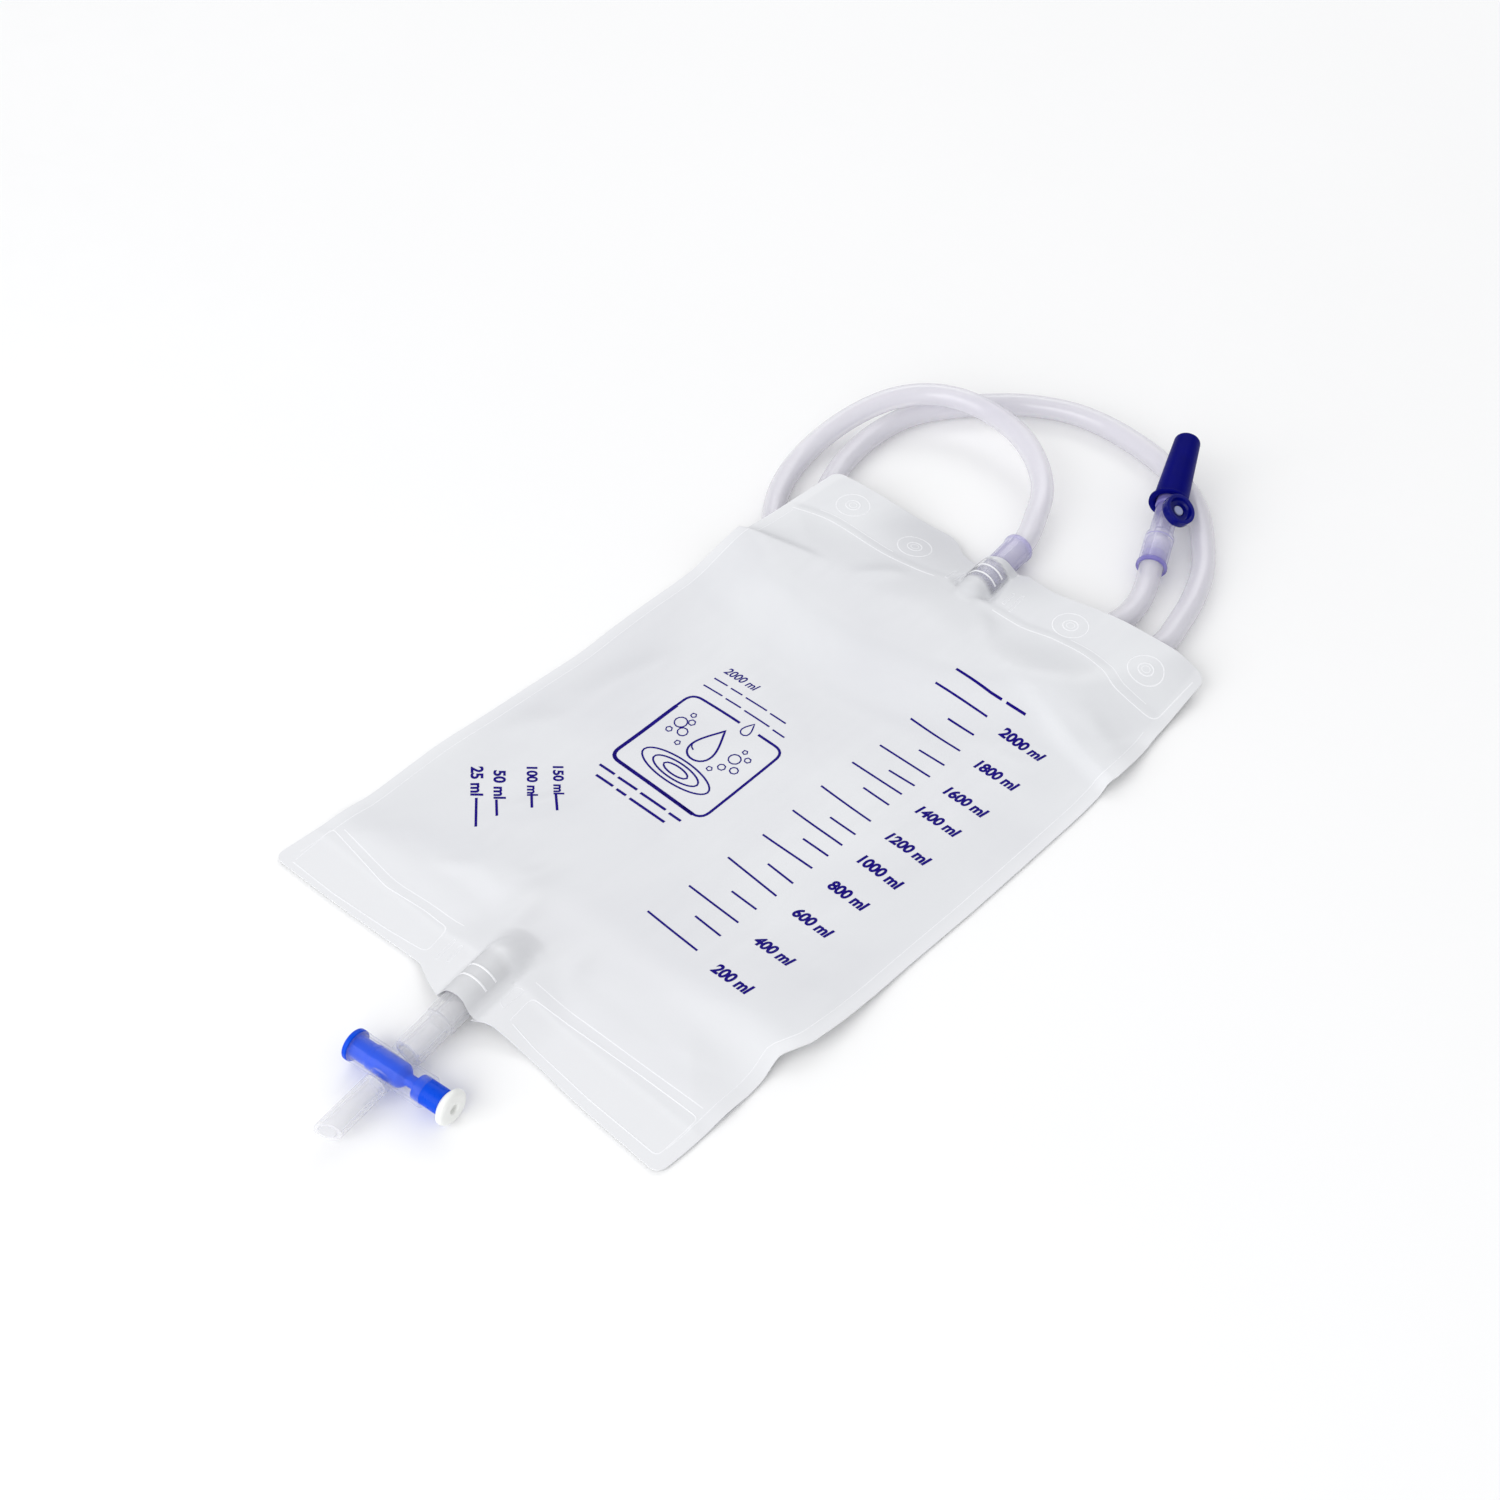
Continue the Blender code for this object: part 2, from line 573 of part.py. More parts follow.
def outlet_frame():
    # Local z runs down the outlet axis from the film edge, local x to the right of the bag
    axis = Vector((math.sin(OUTLET_TURN), -math.cos(OUTLET_TURN), 0))
    side = Vector((math.cos(OUTLET_TURN), math.sin(OUTLET_TURN), 0))
    return axis_frame(stretched(OUTLET_EDGE), axis, side), axis, side


def sleeve(name, outer, inner, start, end, frame, group, material):
    edge = SOFT_EDGE
    profile = [(inner, start), (outer - edge, start), (outer, start + edge), (outer, end - edge),
               (outer - edge, end), (inner, end)]
    return revolve(name, profile, frame, group, material)


def build_outlet(group, cutters, materials):
    frame, axis, side = outlet_frame()
    stub_bore = STUB_RADIUS + FIT_GAP
    sleeve("outlet_port", PORT_RADIUS, stub_bore, -PORT_INSIDE, PORT_OUTSIDE, frame, group,
           materials["outlet_port"])
    tube_end = TAP_DISTANCE - COLLAR_REACH - FIT_GAP
    sleeve("outlet_tube", OUTLET_TUBE_RADIUS, stub_bore, PORT_OUTSIDE + FIT_GAP, tube_end, frame,
           group, materials["outlet_tube"])
    centre = stretched(OUTLET_EDGE) + axis * TAP_DISTANCE
    down = axis_frame(centre, axis, side)
    across = axis_frame(centre, side, axis)
    body = rod("tap_body", BARREL_RADIUS, -BARREL_LEFT, BARREL_RIGHT, across, group)
    body.data.materials.append(materials["tap_body"])
    inner = BARREL_RADIUS - 2 * BARREL_WALL
    for name, radius, start, end, turn in (("upper_collar_form", COLLAR_RADIUS, -COLLAR_REACH, -inner, 2.0),
                                           ("lower_collar_form", SPOUT_RADIUS, inner, COLLAR_REACH, 5.0),
                                           ("stub_form", STUB_RADIUS, -STUB_REACH, -inner / 2, 3.5),
                                           ("spout_stub_form", SPOUT_STUB_RADIUS, inner / 2,
                                            SPOUT_STUB_REACH, 7.0)):
        form = rod(name, radius, start, end, down, cutters, ROUND_STEPS, turn)
        add_boolean(body, "UNION", form)
    bore = rod("barrel_bore_cutter", BARREL_RADIUS - BARREL_WALL, -2 * BARREL_LEFT,
               2 * BARREL_RIGHT, across, cutters, FINE_STEPS, 4.0)
    add_boolean(body, "DIFFERENCE", bore)
    duct = rod("duct_cutter", DUCT_RADIUS, -2 * STUB_REACH, 2 * SPOUT_STUB_REACH, down, cutters,
               BORE_STEPS, 6.0)
    add_boolean(body, "DIFFERENCE", duct)
    spout = sleeve("drain_spout", SPOUT_RADIUS, SPOUT_STUB_RADIUS + FIT_GAP,
                   COLLAR_REACH + FIT_GAP, SPOUT_END, down, group, materials["drain_spout"])
    block = bmesh.new()
    bmesh.ops.create_cube(block, size=1.0)
    size = 6 * SPOUT_RADIUS
    shift = Matrix.Translation((0, 0, size / 2)) @ Matrix.Diagonal((size, size, size, 1))
    tip = Matrix.Translation((0, 0, SPOUT_END - SPOUT_RADIUS * math.tan(SPOUT_BEVEL)))
    tilt = Matrix.Rotation(SPOUT_BEVEL, 4, "Y")
    cutter = finish_mesh("spout_bevel_cutter", block, down @ tip @ tilt @ shift, cutters, None)
    add_boolean(spout, "DIFFERENCE", cutter)
    build_spool(group, materials, across)


def build_spool(group, materials, across):
    wide = SPOOL_RADIUS
    disc_back = -BARREL_LEFT - FIT_GAP
    stem_end = BARREL_RIGHT + STEM_LENGTH
    soft = SOFT_EDGE
    profile = [(0.0, disc_back - SPOOL_DISC_THICKNESS),
               (BARREL_RADIUS - soft, disc_back - SPOOL_DISC_THICKNESS),
               (BARREL_RADIUS, disc_back - SPOOL_DISC_THICKNESS + soft),
               (BARREL_RADIUS, disc_back),
               (SPOOL_CORE_RADIUS, disc_back),
               (SPOOL_CORE_RADIUS, -SPOOL_WIDE_START - soft),
               (wide, -SPOOL_WIDE_START),
               (wide, SPOOL_WIDE_END),
               (wide - ROUNDING, SPOOL_WIDE_END + ROUNDING),
               (SPOOL_NECK_RADIUS, SPOOL_NECK_START),
               (SPOOL_NECK_RADIUS, SPOOL_NECK_END),
               (wide, SPOOL_COLLAR),
               (wide, stem_end),
               (PEG_RADIUS, stem_end),
               (PEG_RADIUS, stem_end + PEG_LENGTH),
               (0.0, stem_end + PEG_LENGTH)]
    revolve("tap_spool", profile, across, group, materials["tap_spool"], FINE_STEPS)
    back = stem_end + FIT_GAP
    front = back + BUTTON_THICKNESS
    socket = back + PEG_LENGTH
    profile = [(0.0, socket),
               (PEG_RADIUS + FIT_GAP, socket),
               (PEG_RADIUS + FIT_GAP, back),
               (SPOOL_RADIUS + soft, back),
               (BUTTON_RADIUS - soft, back + ROUNDING),
               (BUTTON_RADIUS, back + ROUNDING + soft),
               (BUTTON_RADIUS, front - ROUNDING),
               (BUTTON_RADIUS - ROUNDING, front - soft / 2),
               (BUTTON_RADIUS - 2 * ROUNDING, front),
               (BUTTON_HOLE_RADIUS + soft, front),
               (BUTTON_HOLE_RADIUS, front - soft),
               (BUTTON_HOLE_RADIUS, front - BUTTON_HOLE_DEPTH),
               (0.0, front - BUTTON_HOLE_DEPTH)]
    revolve("tap_button", profile, across, group, materials["tap_button"], FINE_STEPS)


def build_end(group, cutters, materials):
    mouth = stretched(END_MOUTH)
    frame = axis_frame(mouth, END_AXIS, PORT_DIRECTION)
    lip = END_CUFF_RADIUS + SOFT_EDGE
    outer = [(0.0, 0.0), (lip, 0.0), (lip, END_LIP_LENGTH), (END_CUFF_RADIUS, END_LIP_LENGTH + SOFT_EDGE),
             (END_CUFF_RADIUS, END_CUFF_LENGTH),
             (END_NECK_RADIUS, END_CUFF_LENGTH + 1.5 * ROUNDING),
             (END_NECK_RADIUS, END_NECK_LENGTH),
             (END_COLLAR_RADIUS, END_NECK_LENGTH + SOFT_EDGE),
             (END_COLLAR_RADIUS, END_COLLAR_END),
             (NOZZLE_BASE_RADIUS, END_COLLAR_END + ROUNDING),
             (NOZZLE_TIP_RADIUS, NOZZLE_END),
             (0.0, NOZZLE_END)]
    item = revolve("catheter_connector", outer, frame, group, materials["catheter_connector"])
    port_axis = frame.to_3x3() @ Vector((1, 0, 0))
    port_root = mouth + END_AXIS * SAMPLE_AT
    port = axis_frame(port_root, port_axis, END_AXIS)
    neck = rod("sample_neck_form", SAMPLE_NECK_RADIUS, SAMPLE_NECK_ROOT, SAMPLE_NECK_REACH, port,
               cutters, ROUND_STEPS, 3.0)
    add_boolean(item, "UNION", neck)
    socket_radius = TUBE_RADIUS + FIT_GAP
    inner = [(0.0, -SOCKET_DEPTH), (socket_radius, -SOCKET_DEPTH), (socket_radius, SOCKET_DEPTH),
             (TUBE_BORE_RADIUS, SOCKET_DEPTH), (TUBE_BORE_RADIUS, END_NECK_LENGTH),
             (NOZZLE_BORE_RADIUS, END_NECK_LENGTH + 2 * MM), (NOZZLE_BORE_RADIUS, NOZZLE_END * 2),
             (0.0, NOZZLE_END * 2)]
    turned = frame @ Matrix.Rotation(math.radians(4.3), 4, "Z")
    bore = revolve("connector_bore_cutter", inner, turned, cutters, None, BORE_STEPS)
    add_boolean(item, "DIFFERENCE", bore)
    septum_top = SAMPLE_RING_FLOOR + SOFT_EDGE
    septum_base = septum_top - SEPTUM_DEPTH
    bore_start = SAMPLE_NECK_ROOT / 3
    side_bore = revolve("sample_bore_cutter",
                        [(0.0, bore_start), (SAMPLE_BORE_RADIUS, bore_start),
                         (SAMPLE_BORE_RADIUS, septum_base - FIT_GAP),
                         (SEPTUM_RADIUS + FIT_GAP, septum_base - FIT_GAP),
                         (SEPTUM_RADIUS + FIT_GAP, 2 * SAMPLE_RING_FRONT), (0.0, 2 * SAMPLE_RING_FRONT)],
                        port @ Matrix.Rotation(math.radians(5), 4, "Z"), cutters, None, BORE_STEPS)
    add_boolean(item, "DIFFERENCE", side_bore)
    seat = SAMPLE_NECK_REACH + FIT_GAP
    edge = SOFT_EDGE
    ring = [(SEPTUM_RADIUS + FIT_GAP, seat), (SAMPLE_NECK_RADIUS + FIT_GAP, seat),
            (SAMPLE_NECK_RADIUS + FIT_GAP, SAMPLE_RING_BACK),
            (SAMPLE_RING_RADIUS - edge, SAMPLE_RING_BACK),
            (SAMPLE_RING_RADIUS, SAMPLE_RING_BACK + edge),
            (SAMPLE_RING_RADIUS, SAMPLE_RING_FRONT - edge),
            (SAMPLE_RING_RADIUS - edge, SAMPLE_RING_FRONT),
            (SAMPLE_RECESS_RADIUS + edge, SAMPLE_RING_FRONT),
            (SAMPLE_RECESS_RADIUS, SAMPLE_RING_FRONT - edge),
            (SAMPLE_RECESS_RADIUS - 2 * edge, SAMPLE_RING_FLOOR),
            (SEPTUM_RADIUS + FIT_GAP, SAMPLE_RING_FLOOR)]
    revolve("sample_port_ring", ring, port, group, materials["sample_port_ring"], FINE_STEPS)
    plug = [(0.0, septum_base), (SEPTUM_RADIUS, septum_base), (SEPTUM_RADIUS, septum_top - edge),
            (SEPTUM_RADIUS - edge, septum_top), (0.0, septum_top)]
    revolve("sample_septum", plug, port, group, materials["sample_septum"], BORE_STEPS)
    cap_bore = END_COLLAR_RADIUS + FIT_GAP
    cap = [(0.0, CAP_END - CAP_WALL), (CAP_TOP_RADIUS - CAP_WALL, CAP_END - CAP_WALL),
           (cap_bore, END_COLLAR_END + ROUNDING),
           (cap_bore, CAP_START + ROUNDING),
           (cap_bore + ROUNDING, CAP_START),
           (CAP_FLANGE_RADIUS, CAP_START),
           (CAP_FLANGE_RADIUS, CAP_START + CAP_FLANGE_THICKNESS),
           (CAP_BASE_RADIUS, CAP_START + CAP_FLANGE_THICKNESS + SOFT_EDGE),
           (CAP_TOP_RADIUS, CAP_END - ROUNDING),
           (CAP_TOP_RADIUS - ROUNDING, CAP_END), (0.0, CAP_END)]
    revolve("protective_cap", cap, frame, group, materials["protective_cap"], FINE_STEPS)


def tube_route():
    # Straight out of the inlet socket, round the drawn loops and straight into the end socket
    axis = Vector((-math.sin(INLET_TURN), math.cos(INLET_TURN), 0))
    inlet = stretched(INLET_MOUTH)
    mouth = stretched(END_MOUTH)
    start = [inlet - axis * (SOCKET_DEPTH - FIT_GAP), inlet + axis * LEAD_OUT]
    end = [mouth - END_AXIS * LEAD_IN, mouth + END_AXIS * (SOCKET_DEPTH - FIT_GAP)]
    middle = [stretched(p) for p in in_metres(LEAD + OUTER_RUN + RETURN_LOOP + INNER_RUN + TAIL)]
    return even_steps(catmull(start + middle + end, ROUTE_FINENESS), ROUTE_STEP)


def build_tube(group, material):
    path = tube_route()
    curve = bpy.data.curves.new("inlet_tube", "CURVE")
    curve.dimensions = "3D"
    curve.bevel_depth = TUBE_RADIUS
    curve.bevel_resolution = 3
    curve.use_fill_caps = True
    line = curve.splines.new("POLY")
    line.points.add(len(path) - 1)
    for point, place in zip(line.points, path):
        point.co = (place.x, place.y, place.z, 1.0)
    curve.materials.append(material)
    item = bpy.data.objects.new("inlet_tube", curve)
    group.objects.link(item)


def centre_on_plan(group, others, on_tube):
    # Middle of the pieces that are not on the tube goes to the origin, lowest point to zero
    low = Vector((1.0, 1.0, 1.0))
    high = -low
    bpy.context.view_layer.update()
    for item in group.objects:
        if item.name in on_tube:
            continue
        for corner in item.bound_box:
            low = Vector(map(min, low, corner))
            high = Vector(map(max, high, corner))
    shift = Matrix.Translation((-(low.x + high.x) / 2, -(low.y + high.y) / 2, -low.z))
    for item in list(group.objects) + list(others.objects):
        item.data.transform(shift)


clear_scene()
bag = new_collection("urine_drainage_bag")
cutters = new_collection("cutters")

clear_film = (0.86, 0.87, 0.90)
clear_violet = (0.72, 0.70, 0.88)
clear_plastic = (0.88, 0.88, 0.91)
navy = (0.01, 0.01, 0.16)
materials = {
    "front_film": new_material("front_film", clear_film, 0.35, 0.6),
    "rear_film": new_material("rear_film", clear_film, 0.35, 0.6),
    "non_return_flap": new_material("non_return_flap", clear_film, 0.35, 0.6),
    "inlet_connector": new_material("inlet_connector", clear_violet, 0.15, 0.6),
    "inlet_tube": new_material("inlet_tube", (0.80, 0.79, 0.86), 0.2, 0.5),
    "catheter_connector": new_material("catheter_connector", clear_violet, 0.15, 0.6),
    "sample_port_ring": new_material("sample_port_ring", (0.02, 0.02, 0.25), 0.25),
    "sample_septum": new_material("sample_septum", (0.45, 0.47, 0.58), 0.6),
    "protective_cap": new_material("protective_cap", navy, 0.4),
    "outlet_port": new_material("outlet_port", clear_plastic, 0.2, 0.6),
    "outlet_tube": new_material("outlet_tube", clear_plastic, 0.2, 0.6),
    "tap_body": new_material("tap_body", clear_plastic, 0.1, 0.5),
    "drain_spout": new_material("drain_spout", clear_plastic, 0.2, 0.6),
    "tap_spool": new_material("tap_spool", (0.0, 0.06, 0.75), 0.35),
    "tap_button": new_material("tap_button", (0.88, 0.89, 0.88), 0.4),
}

hidden_runs = [catmull(in_metres(LEAD[-2:] + OUTER_RUN), 4), catmull(in_metres(RETURN_LOOP[-1:] + INNER_RUN), 4)]
build_films(bag, materials, hidden_runs)
build_inlet(bag, cutters, materials["inlet_connector"])
build_outlet(bag, cutters, materials)
build_end(bag, cutters, materials)
build_tube(bag, materials["inlet_tube"])
centre_on_plan(bag, cutters, {"inlet_tube", "catheter_connector", "sample_port_ring",
                              "sample_septum", "protective_cap"})
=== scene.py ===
import math

import bmesh
import bpy
import numpy as np
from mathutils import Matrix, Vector


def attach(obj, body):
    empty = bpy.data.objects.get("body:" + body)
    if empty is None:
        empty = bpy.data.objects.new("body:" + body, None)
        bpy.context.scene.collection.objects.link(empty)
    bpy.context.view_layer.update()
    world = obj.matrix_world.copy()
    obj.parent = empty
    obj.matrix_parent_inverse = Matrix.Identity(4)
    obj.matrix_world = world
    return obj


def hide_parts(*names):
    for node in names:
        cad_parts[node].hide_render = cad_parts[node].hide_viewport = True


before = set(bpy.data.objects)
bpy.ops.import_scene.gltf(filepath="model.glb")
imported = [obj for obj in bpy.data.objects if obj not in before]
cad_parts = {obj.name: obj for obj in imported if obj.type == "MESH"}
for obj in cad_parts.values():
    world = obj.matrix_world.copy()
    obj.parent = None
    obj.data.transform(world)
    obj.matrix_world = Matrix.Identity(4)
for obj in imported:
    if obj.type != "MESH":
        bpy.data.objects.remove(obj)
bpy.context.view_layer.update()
bag, plunger, cap = "bag", "tap_plunger", "cap"

# the bag is drawn in millimetres round its own middle, +y to the inlet; this moves the drawing into the frame
drawingToFrame = np.array([-3.1316, 29.840, 0.0])
mm = 0.001
tau = 2 * math.pi


def inFrame(points):
    return (np.asarray(points, float) + drawingToFrame) * mm


# small helpers for curves and meshes

def smoothRise(t):
    t = np.clip(t, 0.0, 1.0)
    return t * t * (3 - 2 * t)


def softTable(table, at):
    # smooth line through the points: cubic pieces whose slopes never overshoot
    xs, ys = np.array(table, float).T
    rise = np.diff(ys) / np.diff(xs)
    slope = np.zeros(len(ys))
    product = rise[1:] * rise[:-1]
    total = rise[1:] + rise[:-1]
    slope[1:-1] = np.where(product > 0, 2 * product / np.where(total == 0, 1, total), 0)
    slope[0], slope[-1] = rise[0], rise[-1]
    at = np.clip(at, xs[0], xs[-1])
    i = np.clip(np.searchsorted(xs, at) - 1, 0, len(xs) - 2)
    h = xs[i + 1] - xs[i]
    t = (at - xs[i]) / h
    return (ys[i] * (1 + 2 * t) * (1 - t) ** 2 + slope[i] * h * t * (1 - t) ** 2
            + ys[i + 1] * t * t * (3 - 2 * t) + slope[i + 1] * h * t * t * (t - 1))


def throughPoints(points, steps):
    # Catmull-Rom curve: each span blends its four nearest points
    p = np.array(points, float)
    p = np.vstack([2 * p[0] - p[1], p, 2 * p[-1] - p[-2]])
    t = np.linspace(0, 1, steps, endpoint=False)[None, :, None]
    a, b, c, d = p[:-3, None], p[1:-2, None], p[2:-1, None], p[3:, None]
    span = 0.5 * (2 * b + (c - a) * t + (2 * a - 5 * b + 4 * c - d) * t ** 2
                  + (3 * b - a - 3 * c + d) * t ** 3)
    return np.vstack([span.reshape(-1, p.shape[1]), p[-2]])


def evenSteps(points, step):
    # the same line with points at equal distances
    points = np.asarray(points, float)
    along = np.concatenate([[0], np.cumsum(np.linalg.norm(np.diff(points, axis=0), axis=1))])
    count = max(2, int(round(along[-1] / step)) + 1)
    at = np.linspace(0, along[-1], count)
    return np.stack([np.interp(at, along, column) for column in points.T], axis=1)


def gridFaces(rows, cols, wrapRows=False, wrapCols=False, start=0, flip=False):
    # a quad between each point of the grid and its next neighbours
    i = np.arange(rows if wrapRows else rows - 1)[:, None]
    j = np.arange(cols if wrapCols else cols - 1)[None, :]
    i2, j2 = (i + 1) % rows, (j + 1) % cols
    quads = np.stack([i * cols + j, i * cols + j2, i2 * cols + j2, i2 * cols + j], axis=-1)
    quads = quads.reshape(-1, 4) + start
    return quads[:, ::-1] if flip else quads


def shadeOver(mesh, degrees=40):
    # smooth, with a crease where two faces meet at more than this angle
    mesh.shade_smooth()
    mesh.set_sharp_from_angle(angle=math.radians(degrees))


def newPiece(name, points, faces, finish):
    mesh = bpy.data.meshes.new(name)
    mesh.from_pydata(np.asarray(points, float).tolist(), [], [list(map(int, f)) for f in faces])
    shadeOver(mesh)
    piece = bpy.data.objects.new(name, mesh)
    bpy.context.scene.collection.objects.link(piece)
    if finish:
        mesh.materials.append(finish)
    return piece


def coordsOf(mesh):
    flat = np.zeros(len(mesh.vertices) * 3)
    mesh.vertices.foreach_get("co", flat)
    return flat.reshape(-1, 3)


def keepFloat(piece, name, values):
    layer = piece.data.attributes.new(name, "FLOAT", "POINT")
    layer.data.foreach_set("value", np.asarray(values, np.float32).ravel())


def keepUV(piece, name, perVertex):
    # each face corner takes the pattern place of its vertex
    layer = piece.data.uv_layers.new(name=name)
    corner = np.zeros(len(piece.data.loops), int)
    piece.data.loops.foreach_get("vertex_index", corner)
    layer.data.foreach_set("uv", perVertex[corner].ravel())


mergeWithin, flatBelow = 2e-6, 1e-7  # metres


def closeSeams(piece):
    # one skin: poles and seams merged, normals outwards
    bm = bmesh.new()
    bm.from_mesh(piece.data)
    bmesh.ops.remove_doubles(bm, verts=bm.verts, dist=mergeWithin)
    bmesh.ops.dissolve_degenerate(bm, edges=bm.edges, dist=flatBelow)
    bmesh.ops.recalc_face_normals(bm, faces=bm.faces)
    bm.to_mesh(piece.data)
    bm.free()
    shadeOver(piece.data)


class Place:
    # a spot on the bag: origin in millimetres, local z along the axis, local x towards the side
    def __init__(self, origin, axis, side):
        self.origin = np.array(origin, float)
        self.z = np.array(axis, float) / np.linalg.norm(axis)
        side = np.array(side, float)
        x = side - self.z * side.dot(self.z)
        self.x = x / np.linalg.norm(x)
        self.y = np.cross(self.z, self.x)

    def carry(self, local):
        local = np.asarray(local, float)
        return inFrame(self.origin + local @ np.array([self.x, self.y, self.z]))

    def at(self, height):
        return self.origin + self.z * height

    def deepen(self, piece, zones):
        # marks where clear plastic is seen edge on; a zone is from and to along the axis, least radius, share
        turn = np.array([self.x, self.y, self.z]).T
        local = (coordsOf(piece.data) / mm - drawingToFrame - self.origin) @ turn
        height, away = local[:, 2], np.hypot(local[:, 0], local[:, 1])
        deep = np.zeros(len(height))
        for start, end, inner, share in zones:
            deep = np.maximum(deep, share * ((height > start) & (height < end) & (away > inner)))
        keepFloat(piece, "deep", deep)


usualRounding = 0.15


def softOutline(outline, steps=4):
    # (radius, height, rounding) corners; each corner becomes a short curve bent towards the corner
    corners = np.array([c if len(c) == 3 else (*c, usualRounding) for c in outline], float)
    closed = min(corners[0, 0], corners[-1, 0]) > 0
    out = []
    for i, (r, h, soft) in enumerate(corners):
        here = np.array([r, h])
        if not closed and i in (0, len(corners) - 1) or soft == 0:
            out.append(here)
            continue
        back, on = corners[i - 1, :2] - here, corners[(i + 1) % len(corners), :2] - here
        a, b = (here + side * min(0.45, soft / max(np.linalg.norm(side), 1e-9)) for side in (back, on))
        for t in np.linspace(0, 1, steps + 1):
            out.append(a * (1 - t) ** 2 + 2 * here * t * (1 - t) + b * t * t)
    return np.array(out), closed


def turned(name, outline, place, finish, sides=72):
    # section turned once: x = r cos a, y = r sin a, z = height, carried to its place
    section, closed = softOutline(outline)
    angle = np.linspace(0, tau, sides, endpoint=False)
    r, h = section[:, :1], section[:, 1:]
    local = np.stack([r * np.cos(angle), r * np.sin(angle), h + 0 * angle], axis=-1)
    piece = newPiece(name, place.carry(local.reshape(-1, 3)),
                     gridFaces(len(section), sides, wrapRows=closed, wrapCols=True), finish)
    closeSeams(piece)
    return piece


def combined(piece, *others):
    # joins or cuts with other solids and keeps the result as the piece's own mesh
    for operation, other in others:
        step = piece.modifiers.new(operation, "BOOLEAN")
        step.operation, step.solver, step.object = operation, "EXACT", other
    depsgraph = bpy.context.evaluated_depsgraph_get()
    mesh = bpy.data.meshes.new_from_object(piece.evaluated_get(depsgraph))
    old = piece.data
    piece.modifiers.clear()
    piece.data = mesh
    mesh.name = old.name
    bpy.data.meshes.remove(old)
    for operation, other in others:
        bpy.data.objects.remove(other)
    shadeOver(mesh, 32)
    return piece


def cutSlanted(piece, place, reach, lower, upper):
    # cuts with a block that reaches so far each way; its two faces lie at height + slope x
    corners = [(x, y, height + slope * x) for x in (-reach, reach) for y in (-reach, reach)
               for height, slope in (lower, upper)]
    faces = [(0, 1, 3, 2), (4, 6, 7, 5), (0, 4, 5, 1), (2, 3, 7, 6), (0, 2, 6, 4), (1, 5, 7, 3)]
    knife = newPiece("knife", place.carry(corners), faces, None)
    closeSeams(knife)
    return combined(piece, ("DIFFERENCE", knife))


def ridePiece(piece, body, node):
    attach(piece, body)
    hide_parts(node)
    return piece


# finishes

def addNode(tree, kind, inputs=None, **settings):
    node = tree.nodes.new(kind)
    for key, value in settings.items():
        setattr(node, key, value)
    for key, value in (inputs or {}).items():
        if isinstance(value, bpy.types.NodeSocket):
            tree.links.new(value, node.inputs[key])
        else:
            node.inputs[key].default_value = value
    return node


def newFinish(name, settings):
    finish = bpy.data.materials.new(name)
    finish.use_nodes = True
    tree = finish.node_tree
    shader = tree.nodes["Principled BSDF"]
    for key, value in settings.items():
        shader.inputs[key].default_value = value
    return finish, tree, shader


def noiseOf(tree, scale, detail=3.0, stretch=(1, 1, 1), distortion=0.0):
    place = addNode(tree, "ShaderNodeTexCoord").outputs["Object"]
    place = addNode(tree, "ShaderNodeMapping", {"Vector": place, "Scale": stretch}).outputs["Vector"]
    return addNode(tree, "ShaderNodeTexNoise", {"Vector": place, "Scale": scale, "Detail": detail,
                                                "Distortion": distortion}).outputs["Fac"]


def ranged(tree, value, low, high, fromLow=0.3, fromHigh=0.7):
    limits = {"Value": value, "From Min": fromLow, "From Max": fromHigh, "To Min": low, "To Max": high}
    return addNode(tree, "ShaderNodeMapRange", limits).outputs["Result"]


def blended(tree, factor, first, second):
    node = addNode(tree, "ShaderNodeMix", data_type="RGBA", blend_type="MIX")
    tree.links.new(factor, node.inputs[0])
    for socket, value in ((node.inputs[6], first), (node.inputs[7], second)):
        if isinstance(value, bpy.types.NodeSocket):
            tree.links.new(value, socket)
        else:
            socket.default_value = (*value, 1.0)
    return node.outputs[2]


def grained(tree, shader, noise, low, high, strength, depth):
    # one fine noise moves the roughness and raises a faint bump
    tree.links.new(ranged(tree, noise, low, high), shader.inputs["Roughness"])
    bump = addNode(tree, "ShaderNodeBump", {"Height": noise, "Strength": strength, "Distance": depth})
    tree.links.new(bump.outputs["Normal"], shader.inputs["Normal"])


def mouldedPlastic(name, colour, deeper, roughness, settings=None, grain=900.0, cloud=60.0):
    # slow cloud of two near colours, fine mould grain, roughness that varies a little
    finish, tree, shader = newFinish(name, settings or {})
    body = blended(tree, ranged(tree, noiseOf(tree, cloud), 0, 1), colour, deeper)
    tree.links.new(body, shader.inputs["Base Color"])
    grained(tree, shader, noiseOf(tree, grain, 2.0), roughness * 0.8, roughness * 1.25, 0.25, 0.00002)
    return finish


# the second film colour is painted shade, laid in large random clouds in place of soft fold shading
filmLook = {"milky": (0.76, 0.77, 0.79), "shadedCloud": (0.695, 0.70, 0.73), "fused": (0.83, 0.835, 0.855),
            "shadeCloudScale": 11.0, "rollScale": 260.0, "roughness": 0.33, "cover": 0.95, "clingCover": 0.14}


